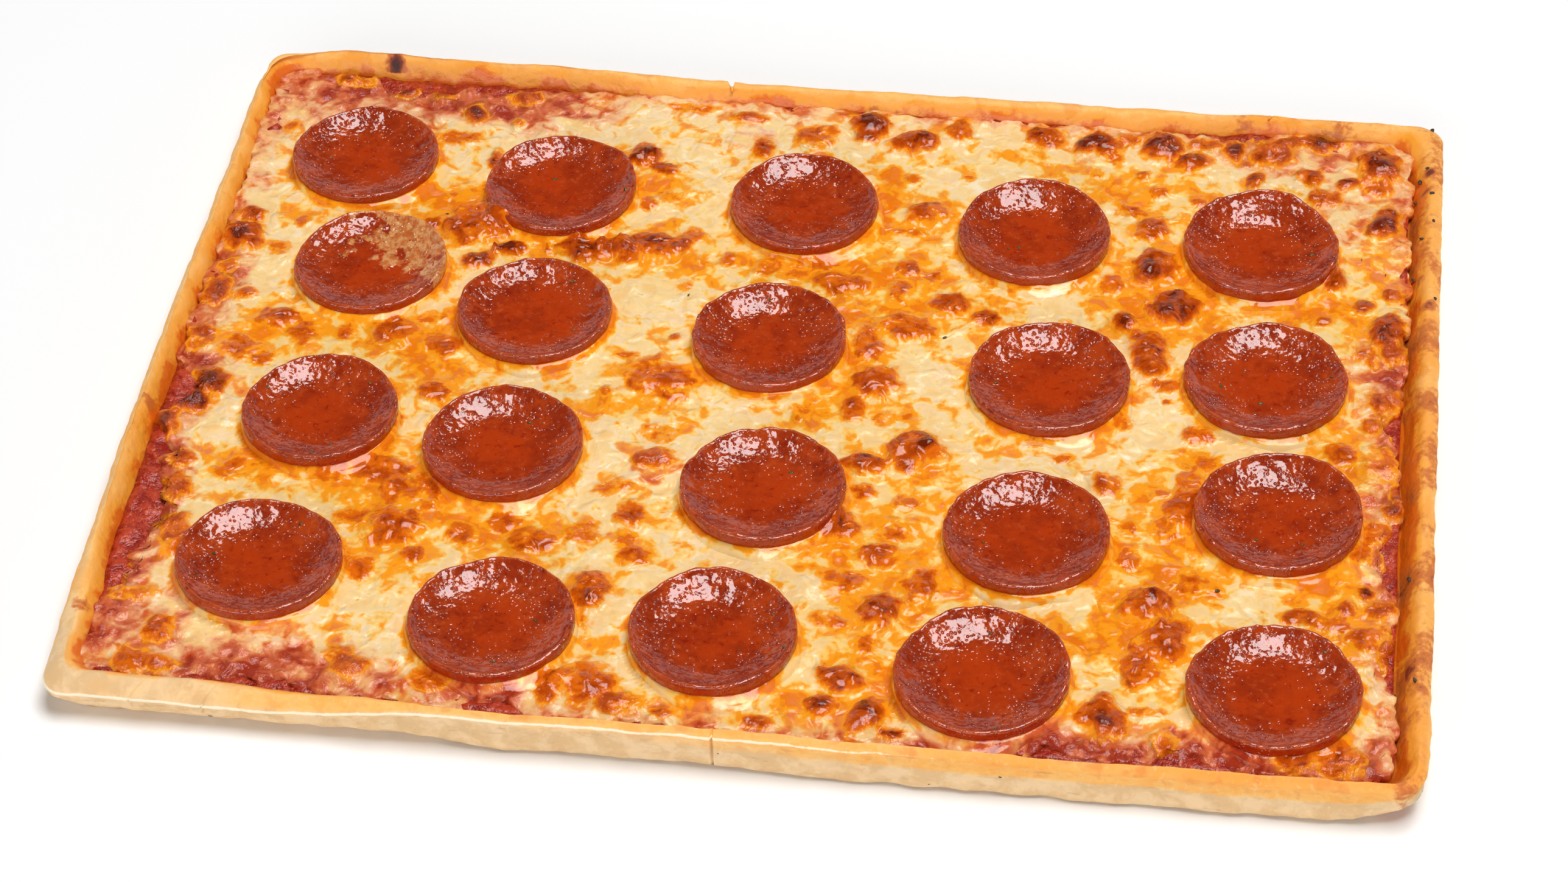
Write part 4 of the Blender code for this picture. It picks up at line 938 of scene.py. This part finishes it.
def cup_tree():
    """The rule for a cupped slice, with its sizes as named inputs."""
    tree = bpy.data.node_groups.new("cupped_slice", "GeometryNodeTree")
    asked = (
        ("Middle", "NodeSocketVector"), ("Radius", "NodeSocketFloat"), ("Back Edge", "NodeSocketFloat"),
        ("Oil Level", "NodeSocketFloat"), ("Cheese Film", "NodeSocketFloat"), ("Crinkle", "NodeSocketFloat"),
        ("Seed", "NodeSocketFloat"), ("Steps Round", "NodeSocketInt"), ("Steps Across", "NodeSocketInt"),
        ("Finish", "NodeSocketMaterial"),
    )
    for name, kind in asked:
        tree.interface.new_socket(name, in_out="INPUT", socket_type=kind)
    tree.interface.new_socket("Slice", in_out="OUTPUT", socket_type="NodeSocketGeometry")
    recipe = Recipe(tree)
    group = tree.nodes.new("NodeGroupInput")
    given = {name: Value(recipe, group.outputs[name]) for name, kind in asked}
    seed, radius = given["Seed"], given["Radius"]

    flat = recipe.node(
        "GeometryNodeMeshGrid", {},
        {
            "Size X": 1.0, "Size Y": 1.0,
            "Vertices X": given["Steps Round"], "Vertices Y": given["Steps Across"],
        },
    )
    place = recipe.node("GeometryNodeInputPosition")
    turn = (recipe.part(place, 0) + 0.5) * (2 * math.pi)
    along = recipe.part(place, 1) + 0.5
    cosine = turn.math("COSINE", turn)
    sine = turn.math("SINE", turn)

    def curve(points):
        """A number read off a drawn curve, from the place along the slice's section."""
        return recipe.node("ShaderNodeFloatCurve", {"curve": points}, {1: along})

    def uneven(x, y, z, size, detail=2.0):
        """Unevenness about 0 at a place, with lumps about size across."""
        spot = recipe.node("ShaderNodeCombineXYZ", {}, {0: x, 1: y, 2: z})
        look = {"Vector": spot, "Scale": 1 / size, "Detail": detail}
        return recipe.node("ShaderNodeTexNoise", {}, look) - 0.5

    reach, rise = curve(CUP_REACH), curve(CUP_RISE)
    broad = uneven(cosine, sine, seed, 1.2)
    crinkles = uneven(cosine, sine, seed + 9.0, 0.16, 3.0)
    away = reach * radius * (1 + broad * 0.10 * reach + crinkles * 0.04 * reach * (0.5 + given["Crinkle"]))
    x, y = away * cosine, away * sine
    wall = along.between(0.26, 0.5) * (1 - along.between(0.84, 0.9))
    dents = uneven(x, y, seed, 0.005, 2.0)
    pits = uneven(x, y, seed + 3.0, 0.0017, 1.0)
    inside = 1 - along.between(0.55, 0.62)
    height = rise * CUP_SCALE + broad * wall * (3.8 * MM)
    height = height + crinkles * wall * (0.9 * MM) * (0.35 + given["Crinkle"])
    height = height + sine.largest(0.0) ** 2.0 * given["Back Edge"] * wall
    height = height + (dents * (0.9 * MM) + pits * (0.3 * MM)) * inside * (0.3 + wall)
    level = given["Oil Level"]
    pool = (level - height).between(-0.8 * MM, 0.5 * MM) * inside
    brimming = recipe.node("ShaderNodeMath", {"operation": "SMOOTH_MAX"}, {0: height, 1: level, 2: 0.7 * MM})
    height = height + (brimming - height) * inside
    film = uneven(x, y, seed + 5.0, 0.010, 3.0) * 2.4 + uneven(x, y, seed + 7.0, 0.0026, 2.0) * 1.3
    film = film + x / radius * 0.55 + y / radius * 0.75 - 0.12
    film = film.between(0.0, 0.3) * given["Cheese Film"] * (1 - along.between(0.72, 0.8))
    height = height + film * (0.45 * MM)
    middle = given["Middle"]
    moved = recipe.node(
        "ShaderNodeCombineXYZ", {},
        {
            0: x + recipe.part(middle, 0),
            1: y + recipe.part(middle, 1),
            2: height.largest(0.0) + recipe.part(middle, 2),
        },
    )
    marked = flat
    for name, value in (("along", along), ("pool", pool), ("film", film)):
        kept = {"data_type": "FLOAT", "domain": "POINT"}
        given_parts = {"Geometry": marked, "Name": name, "Value": value}
        marked = recipe.node("GeometryNodeStoreNamedAttribute", kept, given_parts)
    shaped = recipe.node("GeometryNodeSetPosition", {}, {"Geometry": marked, "Position": moved})
    closed = recipe.node("GeometryNodeMergeByDistance", {}, {"Geometry": shaped, "Distance": 0.01 * MM})
    recipe.finish(closed, given["Finish"])
    return tree


def by_rule(name, tree, inputs, points=()):
    """A plain mesh piece made by a rule from points, with the modifier that made it taken off again."""
    mesh = bpy.data.meshes.new(name)
    mesh.from_pydata(list(points), [], [])
    base = bpy.data.objects.new(name, mesh)
    bpy.context.scene.collection.objects.link(base)
    maker = base.modifiers.new("rule", "NODES")
    maker.node_group = tree
    for item in tree.interface.items_tree:
        if item.item_type == "SOCKET" and item.in_out == "INPUT" and item.name in inputs:
            maker[item.identifier] = inputs[item.name]
    graph = bpy.context.evaluated_depsgraph_get()
    mesh = bpy.data.meshes.new_from_object(base.evaluated_get(graph))
    base.modifiers.clear()
    base.data = mesh
    mesh.name = name
    mesh.shade_smooth()
    return base


def pepperoni_finish():
    """Wet cured meat: deep red with paler fat, clearer under the oil, under a hard pebbled gloss."""
    material, recipe, shader = new_finish("glazed_pepperoni")
    along, pool, film = recipe.mark("along"), recipe.mark("pool"), recipe.mark("film")
    broad = recipe.lumps(0.009, 3.0, 0.6, 1.0)
    fat = recipe.lumps(0.0023, 3.0, 0.65, 2.0, distortion=0.5)
    fine = recipe.lumps(0.0008, 2.0, 0.6, 4.0)
    colour = recipe.blend(broad.between(0.38, 0.62), tint(148, 44, 12), tint(176, 62, 18))
    # A paler line along the rim's crest: partly the crisp edge's own colour, partly a painted highlight.
    lip = (1 - along.between(0.585, 0.615)) * fat.between(0.36, 0.5)
    layers = (
        (fat, 0.54, 0.7, 0.5, (200, 88, 36)),
        (fat, 0.46, 0.3, 0.6, (118, 18, 6)),
        (fine, 0.58, 0.72, 0.2, (150, 40, 40)),
        (along, 0.61, 0.67, 0.8, (170, 38, 4)),
        (along, 0.545, 0.565, lip * 0.4, (200, 92, 44)),
    )
    colour = recipe.layered(colour, layers)
    clear = pool * (0.55 + (broad - 0.5) * 1.6).smallest(0.85)
    colour = recipe.blend(clear, colour, tint(184, 54, 4))
    specks = (fat + fine * 0.5).between(0.66, 0.5) * pool
    colour = recipe.blend(specks * 0.6, colour, tint(132, 14, 2))
    cream = recipe.blend(fat.between(0.4, 0.6), tint(206, 118, 56), tint(232, 176, 112))
    colour = recipe.blend((film + (fine - 0.5) * 0.8).between(0.3, 0.9) * 0.75, colour, cream)
    place = recipe.node("ShaderNodeTexCoord", output="Object")
    cells = {"Vector": place, "Scale": 1 / (1.25 * MM)}
    cell = recipe.node("ShaderNodeTexVoronoi", {}, cells, output="Distance")
    beads = (1 - cell.between(0.08, 0.46)) * recipe.lumps(0.0036, 2.0, 0.5, 9.0).between(0.42, 0.54)
    swell = recipe.lumps(0.0024, 1.5, 0.45, 13.0)
    height = (beads * 0.4 + swell * 0.9 + fine * 0.08) * (1 - pool * 0.75)
    surface(
        recipe, shader,
        BaseColor=colour,
        Roughness=(0.11 - pool * 0.03 + (fine - 0.5) * 0.08),
        Normal=recipe.relief(height, 0.6 * MM),
        SpecularIORLevel=0.8,
    )
    return material


cup_rule = cup_tree()
pepperoni = pepperoni_finish()
oil_draw = random.Random(8)
slices = []
for number, (slice_x, slice_y, radius, low, high) in enumerate(SLICES, start=1):
    piece = by_rule(
        f"pepperoni_slice_{number:02d}", cup_rule,
        {
            "Middle": (slice_x, slice_y, low - SUNK),
            "Radius": radius,
            "Back Edge": max(0.0, high - low - EVEN_CUP),
            "Oil Level": OIL_LEVEL + oil_draw.uniform(-0.15, 0.2) * MM,
            "Cheese Film": 0.8 if number == COVERED else 0.0,
            "Crinkle": CRINKLED.get(number, 0.3),
            "Seed": 1.7 * number,
            "Steps Round": STEPS_ROUND,
            "Steps Across": STEPS_ACROSS,
            "Finish": pepperoni,
        },
    )
    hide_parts(f"pepperoni_{number:02d}")
    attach(piece, "root")
    slices.append(piece)


# Herbs, burnt flour and beads of oil
# Dried herbs from the sausage and the sauce, burnt crumbs baked onto the rim, and beads of oil
# that stand on the slices' walls. One rule scatters them all: a small lump at each given point.


def fleck_tree():
    """The rule for small lumps: one at each point, of uneven size, turned at random."""
    tree = bpy.data.node_groups.new("scattered_flecks", "GeometryNodeTree")
    asked = (
        ("Length", "NodeSocketFloat"), ("Width", "NodeSocketFloat"), ("Thickness", "NodeSocketFloat"),
        ("Roughen", "NodeSocketFloat"), ("Tilt", "NodeSocketFloat"), ("Seed", "NodeSocketInt"),
        ("Finish", "NodeSocketMaterial"),
    )
    tree.interface.new_socket("Places", in_out="INPUT", socket_type="NodeSocketGeometry")
    for name, kind in asked:
        tree.interface.new_socket(name, in_out="INPUT", socket_type=kind)
    tree.interface.new_socket("Flecks", in_out="OUTPUT", socket_type="NodeSocketGeometry")
    recipe = Recipe(tree)
    group = tree.nodes.new("NodeGroupInput")
    given = {name: Value(recipe, group.outputs[name]) for name, kind in asked}
    lump = recipe.node("GeometryNodeMeshUVSphere", {}, {"Segments": 8, "Rings": 6, "Radius": 0.5})
    sizes = recipe.node(
        "ShaderNodeCombineXYZ", {}, {0: given["Length"], 1: given["Width"], 2: given["Thickness"]}
    )
    lean = recipe.node("ShaderNodeCombineXYZ", {}, {0: given["Tilt"], 1: given["Tilt"], 2: 2 * math.pi})
    turned = recipe.node(
        "FunctionNodeRandomValue", {"data_type": "FLOAT_VECTOR"},
        {0: (0.0, 0.0, 0.0), 1: lean, 8: given["Seed"]},
    )
    scale = recipe.node(
        "FunctionNodeRandomValue", {"data_type": "FLOAT"}, {2: 0.55, 3: 1.3, 8: given["Seed"] + 1.0}, output=1
    )
    scaled = recipe.node("ShaderNodeVectorMath", {"operation": "SCALE"}, {0: sizes, "Scale": scale})
    spread = recipe.node(
        "GeometryNodeInstanceOnPoints", {},
        {
            "Points": Value(recipe, group.outputs["Places"]),
            "Instance": lump, "Rotation": turned, "Scale": scaled,
        },
    )
    real = recipe.node("GeometryNodeRealizeInstances", {}, {"Geometry": spread})
    spot = recipe.node("GeometryNodeInputPosition")
    rough = recipe.node("ShaderNodeTexNoise", {}, {"Vector": spot, "Scale": 1 / (0.7 * MM)}, output="Color")
    rough = recipe.node("ShaderNodeVectorMath", {"operation": "SUBTRACT"}, {0: rough, 1: (0.5, 0.5, 0.5)})
    rough = recipe.node("ShaderNodeVectorMath", {"operation": "SCALE"}, {0: rough, "Scale": given["Roughen"]})
    bent = recipe.node("GeometryNodeSetPosition", {}, {"Geometry": real, "Offset": rough})
    recipe.finish(bent, given["Finish"])
    return tree


def fleck_finish(name, dark, light, gloss):
    """A dry or oily fleck of two colours."""
    material, recipe, shader = new_finish(name)
    mottle = recipe.lumps(0.0006, 2.0, 0.6)
    surface(
        recipe, shader,
        BaseColor=recipe.blend(mottle.between(0.35, 0.65), tint(*dark), tint(*light)),
        Roughness=0.65 - gloss * 0.4 - mottle * 0.2,
    )
    return material


def bead_finish():
    """Clear red oil over meat."""
    material, recipe, shader = new_finish("oil_beads")
    tone = recipe.lumps(0.004, 2.0, 0.5)
    surface(recipe, shader, BaseColor=recipe.blend(tone, tint(140, 28, 4), tint(176, 50, 8)), Roughness=0.06)
    return material


def marked_points(piece, mark, low, high, count, draw):
    """Points of a piece where a mark lies between two values, chosen at random."""
    values = np.zeros(len(piece.data.vertices), np.float32)
    piece.data.attributes[mark].data.foreach_get("value", values)
    chosen = draw.sample(list(np.nonzero((values > low) & (values < high))[0]), count)
    return [tuple(piece.data.vertices[int(index)].co) for index in chosen]


def corners_of(piece):
    """All points of a piece, one row of x, y and z for each."""
    points = np.zeros(len(piece.data.vertices) * 3, np.float32)
    piece.data.vertices.foreach_get("co", points)
    return points.reshape(-1, 3)


def stuck_on_front(places, piece):
    """Points x, z in millimetres pressed into the front side of a piece."""
    points = corners_of(piece)
    points = points[points[:, 1] < -0.45 * CRUST_WIDTH]
    pressed = []
    for x, z in places:
        near = np.argmin(np.hypot(points[:, 0] - x * MM - CRUST_SHIFT.x, points[:, 2] - z * MM))
        pressed.append((float(points[near, 0]), float(points[near, 1]) + PRESSED_IN, float(points[near, 2])))
    return pressed


def resting(places, piece):
    """Points x, y in millimetres set down on top of a piece, with the piece's height there."""
    points = corners_of(piece)
    set_down = []
    for x, y in places:
        px, py = x * MM + CRUST_SHIFT.x, y * MM + CRUST_SHIFT.y
        near = np.argsort(np.hypot(points[:, 0] - px, points[:, 1] - py))[:4]
        set_down.append((px, py, float(points[near, 2].max())))
    return set_down


HERBS_ON_CHEESE = ((157, 75), (164, 69), (153, 7.5), (123, -66), (41, 28), (-110, 66), (-34, 38), (66, -13))
BURNT_ON_RIM = (
    (175, 115), (173, 111), (172, 104), (176, 134), (169, 99), (174, 84), (172, 69), (178, 56), (177, 90),
    (176.5, 103), (175, -96), (170, -95), (-170, 121), (173, -56), (166, 81),
)
BURNT_ON_SIDE = ((71.5, 6.5), (72.3, 7.4), (26, 9.2), (-0.5, 6.5), (-1.2, 8.6), (-134, 3.6), (54, 2.6))
PRESSED_IN = 0.42 * MM  # how far those on the side are baked into it
BEADS_A_SLICE = 60

fleck_rule = fleck_tree()
herb = fleck_finish("dried_herb", (58, 50, 18), (112, 96, 40), 0.5)
burnt = fleck_finish("burnt_flour", (34, 22, 18), (78, 48, 36), 0.0)
beads = bead_finish()
draw = random.Random(21)
on_slices, on_walls = [], []
for piece in slices:
    on_slices += marked_points(piece, "along", 0.12, 0.5, draw.randint(1, 4), draw)
for piece in slices:
    on_walls += marked_points(piece, "along", 0.24, 0.54, BEADS_A_SLICE, draw)
on_cheese = resting(HERBS_ON_CHEESE, cheese)
on_rim, on_side = resting(BURNT_ON_RIM, crust), stuck_on_front(BURNT_ON_SIDE, crust)

# Name, finish, places, size in millimetres, how rough, how far tilted, and the material slot.
scattered = (
    ("herb_flecks", herb, on_slices + on_cheese, (1.5, 0.8, 0.5), 0.35, 0.4, "pepperoni"),
    ("burnt_flecks", burnt, on_rim + on_side, (1.9, 1.2, 0.7), 0.5, 0.3, "crust"),
    ("oil_beads", beads, on_walls, (0.62, 0.55, 0.34), 0.0, 0.5, "pepperoni"),
)
for name, finish, places, size, roughen, lean, slot in scattered:
    length, width, thickness = (value * MM for value in size)
    piece = by_rule(
        name, fleck_rule,
        {
            "Length": length, "Width": width, "Thickness": thickness, "Roughen": roughen * MM, "Tilt": lean,
            "Seed": len(places), "Finish": finish,
        },
        places,
    )
    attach(piece, "root")


# The studio
# A plain white sweep in a dim room, under one large soft light overhead. The white walls stand low
# round the table, so wet surfaces that lean back mirror them, and flat ones mirror the dark above.

FLOOR_REACH = 6
WALLS_END, DARK_STARTS = math.sin(math.radians(15)), math.sin(math.radians(30))
WALLS_LIGHT, DARK_LIGHT = 0.6, 0.03
CAMERA_LENS = 92.922
CAMERA_DISTANCE = 1.13069
CAMERA_TILT, CAMERA_YAW, CAMERA_ROLL = math.radians(42.534), math.radians(-8.593), math.radians(-1.532)
CAMERA_AIM = Vector((-0.00022 + CRUST_SHIFT.x, -0.00961 + CRUST_SHIFT.y, 0))

floor_mesh = bpy.data.meshes.new("floor")
corners = [(x * FLOOR_REACH, y * FLOOR_REACH, 0) for x, y in ((-1, -1), (1, -1), (1, 1), (-1, 1))]
floor_mesh.from_pydata(corners, [], [(0, 1, 2, 3)])
floor = bpy.data.objects.new("floor", floor_mesh)
bpy.context.scene.collection.objects.link(floor)
paper, paper_recipe, paper_shader = new_finish("paper")
surface(paper_recipe, paper_shader, BaseColor=(0.97, 0.97, 0.97, 1), Roughness=0.9)
floor_mesh.materials.append(paper)


def soft_light(name, place, size, radiance):
    """A rectangular soft light at a place, turned towards the pizza."""
    data = bpy.data.lights.new(name, "AREA")
    data.shape = "RECTANGLE"
    data.size, data.size_y = size
    data.energy = radiance * math.pi * size[0] * size[1]
    lamp = bpy.data.objects.new(name, data)
    lamp.location = place
    lamp.rotation_euler = (-Vector(place)).to_track_quat("-Z", "Y").to_euler()
    bpy.context.scene.collection.objects.link(lamp)


soft_light("overhead_softbox", (0.45, 0.15, 2.4), (1.65, 1.35), 8.3)
soft_light("front_fill", (-0.6, -2.6, 0.95), (3.0, 1.3), 2.4)
room = bpy.data.worlds.new("white_walls")
room.use_nodes = True
room_recipe = Recipe(room.node_tree)
upward = room_recipe.part(room_recipe.node("ShaderNodeTexCoord", output="Generated"), 2)
glow = upward.between(WALLS_END, DARK_STARTS, WALLS_LIGHT, DARK_LIGHT)
backdrop = room.node_tree.nodes["Background"]
room.node_tree.links.new(glow.socket, backdrop.inputs["Strength"])
backdrop.inputs["Color"].default_value = (1, 1, 1, 1)
bpy.context.scene.world = room
bpy.context.scene.view_settings.view_transform = "Standard"

camera_data = bpy.data.cameras.new("camera")
camera_data.lens = CAMERA_LENS
camera_data.sensor_width = 36
camera = bpy.data.objects.new("camera", camera_data)
across_tilt, down_tilt = math.cos(CAMERA_TILT), math.sin(CAMERA_TILT)
forward = Vector((math.sin(CAMERA_YAW) * across_tilt, math.cos(CAMERA_YAW) * across_tilt, -down_tilt))
sideways = Vector((math.cos(CAMERA_YAW), -math.sin(CAMERA_YAW), 0))
upright = sideways.cross(forward)
right = math.cos(CAMERA_ROLL) * sideways + math.sin(CAMERA_ROLL) * upright
up = -math.sin(CAMERA_ROLL) * sideways + math.cos(CAMERA_ROLL) * upright
turned = Matrix((right, up, -forward)).transposed().to_4x4()
camera.matrix_world = Matrix.Translation(CAMERA_AIM - CAMERA_DISTANCE * forward) @ turned
bpy.context.scene.collection.objects.link(camera)
bpy.context.scene.camera = camera
